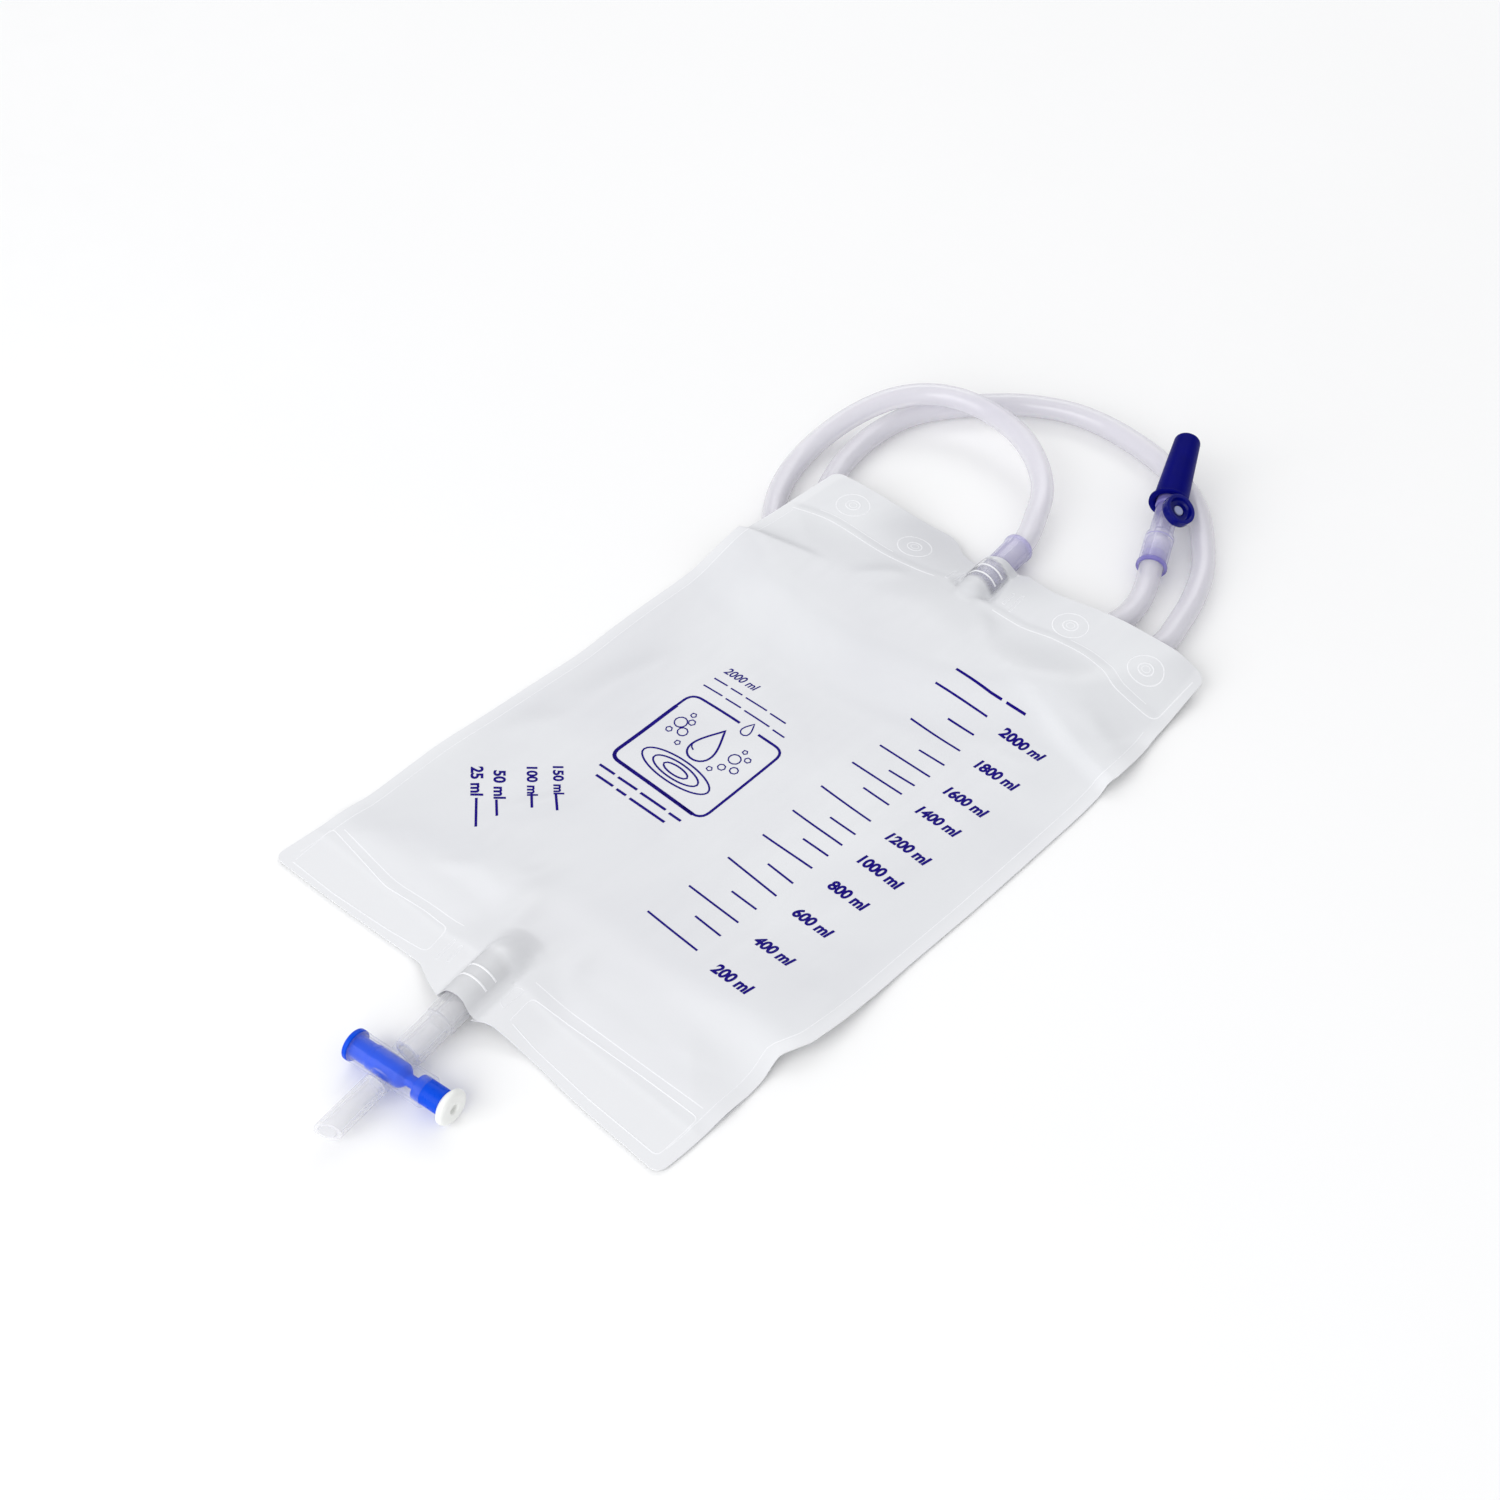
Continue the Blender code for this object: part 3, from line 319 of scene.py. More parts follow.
def filmFinish():
    # milky film: soft clouds of painted shade, paler where the sheets are fused, clear where they cling to a
    # fitting
    finish, tree, shader = newFinish("milkyFilm", {"IOR": 1.5, "Specular IOR Level": 0.5})
    look = filmLook
    fused = addNode(tree, "ShaderNodeAttribute", attribute_name="fused").outputs["Fac"]
    cling = addNode(tree, "ShaderNodeAttribute", attribute_name="cling").outputs["Fac"]
    # painted shade: large random clouds darken the milky colour
    cloud = ranged(tree, noiseOf(tree, look["shadeCloudScale"], 4.0, distortion=0.8), 0.0, 1.0)
    body = blended(tree, cloud, look["milky"], look["shadedCloud"])
    tree.links.new(blended(tree, fused, body, look["fused"]), shader.inputs["Base Color"])
    rolled = noiseOf(tree, look["rollScale"], 2.0, stretch=(1, 0.12, 1))  # faint lines along the roll
    grained(tree, shader, rolled, look["roughness"] - 0.04, look["roughness"] + 0.05, 0.2, 0.00004)
    tree.links.new(ranged(tree, cling, look["cover"], look["clingCover"], 0, 1), shader.inputs["Alpha"])
    return finish


deepViolet = (0.10, 0.075, 0.42)  # clear violet plastic where it is seen edge on


def clearFinish(name, colour, paler, cover, rimCover, roughness, gloss=0.06, cloud=70.0, mirror=(0.04, 0.6)):
    # clear plastic: open in the middle, closing towards the rim, with a clear gloss that grows there
    finish, tree, shader = newFinish(name, {"IOR": 1.46, "Specular IOR Level": 0.1})
    body = blended(tree, ranged(tree, noiseOf(tree, cloud), 0, 1), colour, paler)
    deep = addNode(tree, "ShaderNodeAttribute", attribute_name="deep").outputs["Fac"]
    tree.links.new(blended(tree, deep, body, deepViolet), shader.inputs["Base Color"])
    facing = addNode(tree, "ShaderNodeLayerWeight", {"Blend": 0.5}).outputs["Facing"]
    rimmed = addNode(tree, "ShaderNodeMath", {0: facing, 1: 2.4}, operation="POWER").outputs[0]
    closing = ranged(tree, rimmed, cover, rimCover, 0, 1)
    closing = addNode(tree, "ShaderNodeMath", {0: closing, 1: deep}, operation="MAXIMUM").outputs[0]
    tree.links.new(closing, shader.inputs["Alpha"])
    fine = noiseOf(tree, 420.0, 2.0)
    tree.links.new(ranged(tree, fine, roughness * 0.85, roughness * 1.2), shader.inputs["Roughness"])
    shine = addNode(tree, "ShaderNodeBsdfGlossy", {"Roughness": gloss})
    grazing = addNode(tree, "ShaderNodeMath", {0: facing, 1: 5.0}, operation="POWER").outputs[0]
    both = addNode(tree, "ShaderNodeMixShader")
    tree.links.new(ranged(tree, grazing, *mirror, 0, 1), both.inputs[0])
    tree.links.new(shader.outputs[0], both.inputs[1])
    tree.links.new(shine.outputs[0], both.inputs[2])
    tree.links.new(both.outputs[0], tree.nodes["Material Output"].inputs["Surface"])
    return finish


filmSkin = filmFinish()
# moulded: name, colour, second colour, roughness
# clear: name, colour, second colour, cover in the middle, cover at the rim, roughness, gloss, cloud scale
weldBead = mouldedPlastic("weldBead", (0.86, 0.865, 0.885), (0.82, 0.825, 0.85), 0.28,
                          {"IOR": 1.5}, cloud=40.0)
printInk = mouldedPlastic("printInk", (0.006, 0.0006, 0.165), (0.011, 0.002, 0.20), 0.45,
                          {"Specular IOR Level": 0.05}, cloud=500.0)
softTube = clearFinish("softTube", (0.835, 0.82, 0.885), (0.855, 0.84, 0.90), 0.38, 0.72, 0.24, 0.12, 18.0)
clearViolet = clearFinish("clearViolet", (0.57, 0.54, 0.86), (0.62, 0.59, 0.88), 0.10, 0.62, 0.12, cloud=30.0)
clearPlastic = clearFinish("clearPlastic", (0.78, 0.80, 0.86), (0.82, 0.84, 0.88), 0.012, 0.40, 0.06,
                           mirror=(0.008, 0.35))
hazyPlastic = clearFinish("hazyPlastic", (0.83, 0.83, 0.865), (0.87, 0.87, 0.90), 0.27, 0.46, 0.2, 0.12, 30.0,
                          (0.04, 0.36))
navyCap = mouldedPlastic("navyCap", (0.0004, 0.001, 0.165), (0.0004, 0.001, 0.12), 0.38,
                         {"Specular IOR Level": 0.03})
navyRing = mouldedPlastic("navyRing", (0.0006, 0.002, 0.16), (0.0006, 0.002, 0.115), 0.12,
                          {"Specular IOR Level": 0.15})
greyPlug = mouldedPlastic("greyPlug", (0.30, 0.33, 0.50), (0.26, 0.29, 0.46), 0.5)
vividBlue = mouldedPlastic("vividBlue", (0.0, 0.075, 0.72), (0.0, 0.06, 0.62), 0.30,
                           {"Specular IOR Level": 0.12})
whiteButton = mouldedPlastic("whiteButton", (0.86, 0.87, 0.85), (0.82, 0.83, 0.81), 0.34,
                             {"Subsurface Weight": 0.1, "Subsurface Radius": (0.002, 0.002, 0.002)})
paleFloor = mouldedPlastic("paleFloor", (0.93, 0.93, 0.93), (0.92, 0.92, 0.92), 0.8, cloud=4.0, grain=60.0)
print("finishes ready")


# camera: place, tilt and focal length as solved from the outline of the lying bag
view = {"place": (366.5, -400.6, 568.3), "down": 45.88, "turn": 42.9, "focalPixels": 2051,
        "framePixels": 1500, "sensor": 36}
cameraData = bpy.data.cameras.new("camera")
cameraData.sensor_width = view["sensor"]
cameraData.lens = view["focalPixels"] / view["framePixels"] * view["sensor"]
cameraData.clip_start, cameraData.clip_end = 0.01, 20
camera = bpy.data.objects.new("camera", cameraData)
camera.location = inFrame(view["place"])
camera.rotation_euler = (math.radians(90 - view["down"]), 0, math.radians(view["turn"]))
bpy.context.scene.collection.objects.link(camera)
bpy.context.scene.camera = camera


# inlet tube: one soft tube from the inlet to the catheter connector

tube = {"radius": 5.0, "bore": 3.2, "lip": 0.35, "step": 2.0, "sides": 40, "tableGap": 0.1, "socket": 14.7,
        "leadOut": 4.0, "leadIn": 2.0, "length": 1.018}
inletMouth, inletTurn = np.array([-1.9, 162.4, 7.0]), math.radians(6.5)
inletAxis = np.array([-math.sin(inletTurn), math.cos(inletTurn), 0])
endMouth = np.array([46.9, 188.8, 7.8])
endAxis = np.array([-0.3995, 0.8968, 0.190])
endAxis /= np.linalg.norm(endAxis)
leadOut = [(-7.6, 181, 9.0), (-15.6, 196, 11.2), (-29.6, 208.5, 13.4), (-46.7, 216.4, 15.0),
           (-65, 218.6, 15.8), (-80.7, 216.1, 16.0), (-93.4, 208.3, 15.8), (-103.2, 196.2, 14.2),
           (-110.2, 180.6, 10.4), (-112.8, 162, 6.9), (-110.7, 143.6, 5.2), (-104.8, 127.1, 5.0)]
outerRun = [(-96.3, 112.8, 5.0), (-85.5, 101, 5.0), (-71, 91, 5.0), (-52, 85, 5.0), (-30, 82.5, 5.0),
            (-8, 83, 5.0), (14, 87.5, 5.0), (34, 96.5, 5.0), (52, 110.5, 5.0), (66, 128, 5.0),
            (74, 146, 5.0), (75.9, 157.6, 5.0)]
returnLoop = [(73.4, 171.7, 5.0), (69.5, 187, 5.0), (62.6, 204, 5.0), (53.5, 218, 5.0), (42.1, 232, 5.0),
              (28.6, 243, 5.0), (7, 253, 5.0), (-17.5, 257.6, 5.0), (-38, 256.8, 5.0), (-55, 250.5, 5.0),
              (-71, 239, 5.0), (-87.8, 219, 5.0), (-96, 203, 5.0), (-98.7, 185.3, 5.0), (-97.2, 165.7, 5.0)]
innerRun = [(-91.8, 146.6, 5.0), (-81, 126, 5.0), (-64, 111, 5.0), (-42, 101.5, 5.0), (-17, 98, 5.0),
            (8, 102, 5.0), (31, 113.5, 5.0), (47.5, 131.5, 5.0), (55, 154, 5.0)]
tailIn = [(54.6, 168.5, 5.2), (51.4, 178.8, 6.0)]


def tubeLine():
    middle = np.array(leadOut + outerRun + returnLoop + innerRun + tailIn) + (0, 0, tube["tableGap"])
    ends = [inletMouth - inletAxis * tube["socket"], inletMouth + inletAxis * tube["leadOut"]]
    others = [endMouth - endAxis * tube["leadIn"], endMouth + endAxis * tube["socket"]]
    return evenSteps(throughPoints(np.vstack([ends, middle, others]), 24), tube["step"])


def hollowAlong(name, line, finish):
    # circles carried along the line: centre + r (cos a side + sin a up),
    # out along the wall and back in the bore
    outer, bore, lip, sides, count = tube["radius"], tube["bore"], tube["lip"], tube["sides"], len(line)
    tangent = np.gradient(line, axis=0)
    tangent /= np.linalg.norm(tangent, axis=1)[:, None]
    side = np.cross(tangent, (0, 0, 1))
    side /= np.linalg.norm(side, axis=1)[:, None]
    up = np.cross(side, tangent)
    angle = np.linspace(0, tau, sides, endpoint=False)
    order = np.concatenate([[0], np.arange(count), [count - 1], [count - 1], np.arange(count)[::-1], [0]])
    radius = np.concatenate([[outer - lip], np.full(count, outer), [outer - lip], [bore + lip],
                             np.full(count, bore), [bore + lip]])
    shift = np.zeros(len(order))
    shift[1], shift[count] = lip, -lip
    shift[count + 3], shift[-2] = -lip, lip
    centre = line[order] + tangent[order] * shift[:, None]
    across, upward = np.cos(angle)[None, :, None], np.sin(angle)[None, :, None]
    ring = across * side[order][:, None] + upward * up[order][:, None]
    points = centre[:, None] + ring * radius[:, None, None]
    piece = newPiece(name, inFrame(points.reshape(-1, 3)),
                     gridFaces(len(order), sides, wrapRows=True, wrapCols=True), finish)
    vertex = np.arange(len(order) * sides)
    along = vertex // sides * tube["step"] / 100
    keepUV(piece, "tubeLength", np.stack([(vertex % sides) / sides, along], axis=1))
    closeSeams(piece)
    return piece


tubePath = tubeLine()
inletTube = hollowAlong("inletTubing", tubePath, softTube)
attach(inletTube, bag)
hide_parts("inlet_tube")
print("tube laid,", round(float(np.linalg.norm(np.diff(tubePath, axis=0), axis=1).sum())), "mm long")


# films: two sheets over the tube and round the fittings

film = {"thickness": 0.30, "layer": 0.35, "weldGap": 0.3, "wrapGap": 0.75, "wrapFoot": 13.0, "pillow": 1.8,
        "pillowRun": 26.0, "edgeWeld": 6.0, "bottomWeld": 20.0, "halfLength": 155.0, "corner": 4.0,
        "runLift": 10.55, "runFlat": 5.5, "runInside": 75.0, "runOutside": 42.0, "portLift": 5.0,
        "dipSlope": 0.7, "slack": 0.10, "meeting": 3.5, "band": 13, "topFrom": 100, "bottomFrom": -130,
        "rowBreaks": (-155, -100, 62, 155), "rowCounts": (46, 72, 84), "columnCounts": (30, 62)}
# where each form starts and over how many millimetres it comes in; the minus sign stands for before
reach = {"belowInlet": (4, 20), "besideMiddle": (26, 20), "lift": (-28, 28), "liftEnds": (8, 26),
         "inletDip": (-5, 7), "portDip": (-9, 8), "inletWrap": (-24, 23), "portWrap": (-25, 24),
         "fusedGap": (1, 4), "clearOfWeld": (-4, 12), "sideTone": (-5.2, 1.6), "bottomTone": (135, 3),
         "belowFoldTone": (90, 14), "socketSeen": (-8.6, 1.6), "socketEnd": (-142.6, 0.8),
         "socketFrom": (127, 3.5), "stemSeen": (-7.5, 3), "stemFrom": (114, 8), "portSeen": (-8.2, 2),
         "portFrom": (-2, 4), "drawnBeside": (-7, 3), "drawnBelow": (145, 14)}
loopCentre = np.array([-8.0, 165.0])
inlet = {"radius": 6.2, "socket": 5.3, "bore": 3.2, "length": 36.5, "depth": 15.0, "lip": 0.5,
         "lipLength": 1.6, "grooves": (6.5, 12.0, 17.0), "grooveDepth": 0.45, "grooveWidth": 0.9,
         "bevel": math.radians(28)}
outlet = {"port": 6.0, "bore": 3.8, "inside": 19.0, "outside": 10.6, "hose": 5.6, "tapDistance": 34.5,
          "barrel": 5.9, "wall": 1.0, "left": 15.3, "right": 16.0, "collar": 5.3, "collarReach": 7.4,
          "stub": 3.5, "stubReach": 27.0, "spoutStub": 2.9, "spoutStubReach": 16.0, "duct": 2.2,
          "spout": 4.5, "spoutBore": 3.2, "spoutEnd": 32.4, "spoutBevel": math.radians(24)}
leftEdge = [(-155, -99.3), (-138, -98.5), (-114, -97.3), (-90, -98.2), (-78, -98.6), (-54, -97.5),
            (-20, -96.3), (-6, -95.8), (18, -97), (35, -97.4), (54, -96.7), (66, -95.6),
            (78, -93.8), (90, -91.8), (102, -90.4), (130, -89.5), (155, -88.6)]
rightEdge = [(-155, 99.2), (-140, 100), (-120, 100), (-108, 99.6), (-98, 98.3), (-92, 101),
             (-86, 103.4), (-70, 104.4), (-40, 104), (0, 105), (30, 105.3), (60, 105.4),
             (75, 104.8), (79, 104.6), (84, 105.8), (122, 102.2), (155, 100.3)]
topEdge = [(-88, 144.8), (-80, 145.4), (-70, 146), (-60, 147), (-50, 148.5), (-40, 150.5),
           (-30, 152), (-25, 150.5), (-20, 146.5), (-15, 143.8), (-9, 142.8), (-3, 143.5),
           (1.5, 145.1), (5.5, 146.6), (9, 149), (12, 150.4), (16, 149.3), (21, 147.8),
           (28, 146.3), (36, 147), (46, 149), (65, 151), (100, 150.8)]
bottomEdge = [(-97, -156), (-69, -155), (-43, -153.4), (-24, -152.3), (-17, -154.6), (-12, -156.8),
              (-8, -158.2), (-3, -159.6), (2, -158.9), (8, -158.2), (12, -158.6), (14, -157.6),
              (17, -155.7), (21, -154.6), (35, -153.7), (59, -155.3), (98, -156.5)]
topWeld = [(-97, 110), (-66, 117.5), (-40, 116.5), (-22, 118.5), (-5, 122.5), (12, 120),
           (30, 119.3), (46, 122.5), (58, 123.3), (70, 121.5), (80, 118), (100, 119.5)]
outletEdge, outletTurn = np.array([4.8, -156.0, 6.7]), math.radians(7)
outletAxis = np.array([math.sin(outletTurn), -math.cos(outletTurn), 0])
outletSide = np.array([math.cos(outletTurn), math.sin(outletTurn), 0])
inletInnerY = inletMouth[1] - inlet["length"] * math.cos(inletTurn)
portInnerY = outletEdge[1] + outlet["inside"] * math.cos(outletTurn)
# folds: start, end, height, spread below and above the crest; they die away from their start
folds = [((-93, 86), (-48, 95), 4.6, 26, 2.6), ((106, 83), (22, 103), 4.4, 5.0, 20),
         ((102, -89), (-8, -93), 5.2, 13, 30)]
# swells and creases are the same, but rise and fall along the way
swells = [((-70, -20), (20, 40), 1.6, 16, 22), ((30, -30), (96, 20), 1.4, 18, 16),
          ((-60, -95), (-4, -118), 1.9, 8, 12)]
creases = [((-9, -128), (-13, -96), 1.0, 3.5, 5), ((-24, -120), (-16, -82), 1.1, 5, 6),
           ((26, -130), (15, -104), 0.9, 4, 5), ((50, -124), (92, -112), 0.8, 5, 7),
           ((-84, 60), (-40, 76), 0.9, 6, 8), ((40, 60), (98, 66), 0.8, 6, 7),
           ((-22, 118), (-40, 92), 0.8, 4, 4), ((14, 120), (30, 96), 0.7, 4, 4),
           ((-92, -60), (-66, -30), 0.7, 6, 7), ((70, 100), (100, 96), 0.8, 4, 5),
           ((-60, -98), (-32, -52), 0.9, 4, 5), ((-58, -123), (-33, -106), 0.9, 4, 4),
           ((-78, -36), (-60, 34), 1.0, 8, 8)]


def comingIn(distance, form):
    start, over = reach[form]
    return smoothRise((distance - start) / over)


def ridgeOf(x, y, fold):
    # Gaussian ridge beside the crest line, and the share of the way along it
    (sx, sy), (ex, ey), height, below, above = fold
    dx, dy = ex - sx, ey - sy
    length = math.hypot(dx, dy)
    share = ((x - sx) * dx + (y - sy) * dy) / length ** 2
    off = ((y - sy) * dx - (x - sx) * dy) / length * (1 if dx >= 0 else -1)
    return height * np.exp(-(off / np.where(off > 0, above, below)) ** 2), share


def foldHeight(x, y):
    total = np.zeros_like(x)
    for fold in folds:
        height, share = ridgeOf(x, y, fold)
        total += height * (1 - smoothRise(share))
    for fold in swells:
        height, share = ridgeOf(x, y, fold)
        total += height * smoothRise(2 * share) * smoothRise(2 - 2 * share)
    return total


def runShare(x, y, run):
    # share of the tube's height the film keeps: flat over the tube, then a squared cosine down to the table
    best = np.full(x.shape, 1e9)
    nearX, nearY = np.zeros_like(x), np.zeros_like(x)
    for (ax, ay), (bx, by) in zip(run[:-1, :2], run[1:, :2]):
        dx, dy = bx - ax, by - ay
        t = np.clip(((x - ax) * dx + (y - ay) * dy) / (dx * dx + dy * dy), 0, 1)
        px, py = ax + dx * t, ay + dy * t
        gap = np.hypot(x - px, y - py)
        closer = gap < best
        best = np.where(closer, gap, best)
        nearX, nearY = np.where(closer, px, nearX), np.where(closer, py, nearY)
    fromMiddle = np.hypot(x - loopCentre[0], y - loopCentre[1])
    outside = fromMiddle > np.hypot(nearX - loopCentre[0], nearY - loopCentre[1])
    fade = np.where(outside, film["runOutside"], film["runInside"])
    t = np.clip((best - film["runFlat"]) / (fade - film["runFlat"]), 0, 1)
    return np.cos(t * math.pi / 2) ** 2


def inletLine(y):
    return inletMouth[0] - (y - inletMouth[1]) * math.tan(inletTurn)


def outletLine(y):
    return outletEdge[0] + (outletEdge[1] - y) * math.tan(outletTurn)


def middleLine(y):
    share = np.clip((y - portInnerY) / (inletInnerY - portInnerY), 0, 1)
    between = outletLine(portInnerY) * (1 - share) + inletLine(inletInnerY) * share
    return np.where(y >= inletInnerY, inletLine(y), np.where(y <= portInnerY, outletLine(y), between))


def wrapHeight(offset, radius, centre, foot):
    # film over a round piece: arc on top, straight tangent down to the weld at its foot
    tilt = math.atan2(centre, foot) + math.asin(min(1.0, radius / math.hypot(foot, centre)))
    turn = radius * math.sin(tilt)
    offset = np.abs(offset)
    arc = centre + np.sqrt(np.maximum(radius ** 2 - offset ** 2, 0))
    slope = (centre + radius * math.cos(tilt)) * (foot - offset) / (foot - turn)
    return np.where(offset <= turn, arc, np.maximum(slope, 0))


hiddenRuns = [throughPoints(np.array(leadOut[-2:] + outerRun), 4),
              throughPoints(np.array(returnLoop[-1:] + innerRun), 4)]


def filmHeights(x, y):
    # underside of the rear film, and the gap between the two films
    away = np.ones_like(x)
    for run in hiddenRuns:
        away = away * (1 - runShare(x, y, run))
    below = comingIn(inletInnerY - y, "belowInlet")
    beside = comingIn(np.abs(x - middleLine(y)), "besideMiddle")
    low = film["runLift"] * (1 - away) + foldHeight(x, y) * np.maximum(below, beside)
    # the port holds the bottom seam up on both sides
    fromPort = np.abs(x - outletLine(y))
    low += film["portLift"] * comingIn(portInnerY - y, "lift") * (1 - comingIn(fromPort, "liftEnds"))
    # the rear film dips under both fittings: room left below a circle, then a slope up on each side
    hug, inletZ = inlet["radius"] + film["wrapGap"], inletMouth[2] - film["layer"]
    hold, portZ = outlet["port"] + film["wrapGap"], outletEdge[2] - film["layer"]
    for share, offset, radius, centre in (
            (comingIn(y - inletInnerY, "inletDip"), np.abs(x - inletLine(y)), hug, inletZ),
            (comingIn(portInnerY - y, "portDip"), fromPort, hold, portZ)):
        room = centre - np.sqrt(np.maximum(radius ** 2 - offset ** 2, 0))
        room = room + film["dipSlope"] * np.maximum(offset - radius, 0)
        low += (np.minimum(low, np.maximum(room, 0)) - low) * share
    left, right = softTable(leftEdge, y), softTable(rightEdge, y)
    inside = np.minimum(np.minimum(x - left, right - x) - film["edgeWeld"],
                        np.minimum(y + film["halfLength"] - film["bottomWeld"], softTable(topWeld, x) - y))
    # welded sheets lie on each other; further in the pouch stands open
    gap = film["weldGap"] * (1 - 1.1 * comingIn(-inside, "fusedGap"))
    gap = gap + film["pillow"] * smoothRise(inside / film["pillowRun"])
    clear = comingIn(inside, "clearOfWeld")
    for crease in creases:
        height, share = ridgeOf(x, y, crease)
        gap = gap + height * smoothRise(2 * share) * smoothRise(2 - 2 * share) * clear
    # slack of the upper film: three slow crossing waves
    wave = (np.sin(x / 17 + 0.6 * np.sin(y / 31)) * np.sin(y / 23 + 0.8)
            + 0.6 * np.sin(x / 9.5 - y / 15 + 1.3) + 0.5 * np.sin(x / 28 + y / 12.5))
    gap = gap + film["slack"] * (wave + 2.1) * clear
    # higher of the two surfaces, their meeting line rounded where the wrap rises
    for share, line, radius, centre in (
            (comingIn(y - inletInnerY, "inletWrap"), inletLine(y), hug, inletZ),
            (comingIn(portInnerY - y, "portWrap"), outletLine(y), hold, portZ)):
        wrap = wrapHeight(x - line, radius, centre, film["wrapFoot"]) * share - low
        blend = film["meeting"] * 4 * share * (1 - share) + 0.01
        gap = np.maximum(gap, wrap) + np.maximum(blend - np.abs(gap - wrap), 0) ** 2 / (4 * blend)
    return low, gap


def filmTop(x, y):
    low, gap = filmHeights(x, y)
    return low + 2 * film["layer"] + gap


def filmPlan():
    # rows crowd towards the header and the bottom weld; columns crowd over the fittings
    breaks, band, high, deep = film["rowBreaks"], film["band"], film["topFrom"], film["bottomFrom"]
    parts = [np.linspace(start, end, count, endpoint=end == breaks[-1])
             for start, end, count in zip(breaks[:-1], breaks[1:], film["rowCounts"])]
    rows = np.concatenate(parts)[:, None]
    middleCount, sideCount = film["columnCounts"]
    share = np.linspace(0, 1, sideCount + 1)[1:][None, :]
    middle = middleLine(rows)
    left, right = softTable(leftEdge, rows), softTable(rightEdge, rows)
    x = np.hstack([(middle - band) + (left - middle + band) * share[:, ::-1],
                   middle + np.linspace(-band, band, middleCount)[None, :],
                   (middle + band) + (right - middle - band) * share])
    top, bottom, half = softTable(topEdge, x), softTable(bottomEdge, x), film["halfLength"]
    y = np.where(rows > high, high + (rows - high) * (top - high) / (half - high),
                 np.where(rows < deep, deep + (rows - deep) / (-half - deep) * (bottom - deep), rows + 0 * x))
    # the four corners: the square of the corner radius is bent onto a quarter disc
    c = film["corner"]
    for sideX, signX in ((x[:, :1], -1), (x[:, -1:], 1)):
        for endY, signY in ((y[:1, :], -1), (y[-1:, :], 1)):
            a = 1 - np.clip(signX * (sideX - x) / c, 0, 1)
            b = 1 - np.clip(signY * (endY - y) / c, 0, 1)
            both = (a > 0) & (b > 0)
            x = np.where(both, sideX - signX * c * (1 - a * np.sqrt(1 - b * b / 2)), x)
            y = np.where(both, endY - signY * c * (1 - b * np.sqrt(1 - a * a / 2)), y)
    return x, y


def filmShell(name, x, y, low, thickness, finish):
    # closed sheet: upper grid, lower grid and a strip round the border
    rows, cols = x.shape
    upper = np.stack([x, y, low + thickness], axis=-1).reshape(-1, 3)
    under = np.stack([x, y, low], axis=-1).reshape(-1, 3)
    count = rows * cols
    index = np.arange(count).reshape(rows, cols)
    rim = np.concatenate([index[0, :-1], index[:-1, -1], index[-1, :0:-1], index[:0:-1, 0]])
    strip = np.stack([rim, rim + count, np.roll(rim, -1) + count, np.roll(rim, -1)], axis=1)
    faces = np.vstack([gridFaces(rows, cols), gridFaces(rows, cols, start=count, flip=True), strip])
    piece = newPiece(name, inFrame(np.vstack([upper, under])), faces, finish)
    flat = np.stack([x.ravel() / 100, y.ravel() / 100], axis=1)
    keepUV(piece, "filmPlan", np.vstack([flat, flat]))
    # paler where the sheets are welded, and paler towards the bottom, below the lower fold
    edge = np.minimum(x - x[:, :1], x[:, -1:] - x)
    fused = np.maximum(0.45 * comingIn(-edge, "sideTone"), 0.7 * comingIn(-y, "bottomTone"))
    fused = np.maximum(fused, 0.4 * comingIn(0.35 * np.minimum(x, 0) - y, "belowFoldTone"))
    # the film clings to the two fittings and lets them show through
    across = -np.abs(x - inletLine(y))
    near = (0.22 + 0.68 * comingIn(-y, "socketEnd")) * comingIn(y, "socketFrom")
    near = near * comingIn(across, "socketSeen")
    near = np.maximum(near, 0.16 * comingIn(across, "stemSeen") * comingIn(y, "stemFrom"))
    across = -np.abs(x - outletLine(y))
    near = np.maximum(near, 0.34 * comingIn(across, "portSeen") * comingIn(portInnerY - y, "portFrom"))
    keepFloat(piece, "fused", np.concatenate([fused.ravel()] * 2))
    keepFloat(piece, "cling", np.concatenate([near.ravel()] * 2))
    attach(piece, bag)
    return piece


fineX, fineY = filmPlan()
low, gap = filmHeights(fineX, fineY)
frontFilm = filmShell("frontFilm", fineX, fineY, low + film["layer"] + gap, film["thickness"], filmSkin)
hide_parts("front_film")
# under the port the rear film ends a little sooner
drawnIn = 5 * comingIn(-np.abs(fineX - outletLine(fineY)), "drawnBeside") * comingIn(-fineY, "drawnBelow")
rearFilm = filmShell("rearFilm", fineX, fineY + drawnIn, low, film["thickness"], filmSkin)
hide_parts("rear_film")

flap = {"width": 26.0, "from": 75.0, "to": 108.0, "lift": 0.3, "thickness": 0.25}
flapRows = np.linspace(flap["from"], flap["to"], 34)[:, None]
flapX = middleLine(flapRows) + np.linspace(-flap["width"] / 2, flap["width"] / 2, 27)[None, :]
flapY = flapRows + 0 * flapX
low, gap = filmHeights(flapX, flapY)
flapLow = low + film["layer"] + flap["lift"]
valveFlap = filmShell("valveFlap", flapX, flapY, flapLow, flap["thickness"], filmSkin)
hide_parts("non_return_flap")
print("films laid")


# weld lines and print: strokes that follow the film's surface

stroke = {"beadStep": 0.9, "barStep": 1.4, "sunk": 0.12, "clear": 0.045, "ink": 0.03}


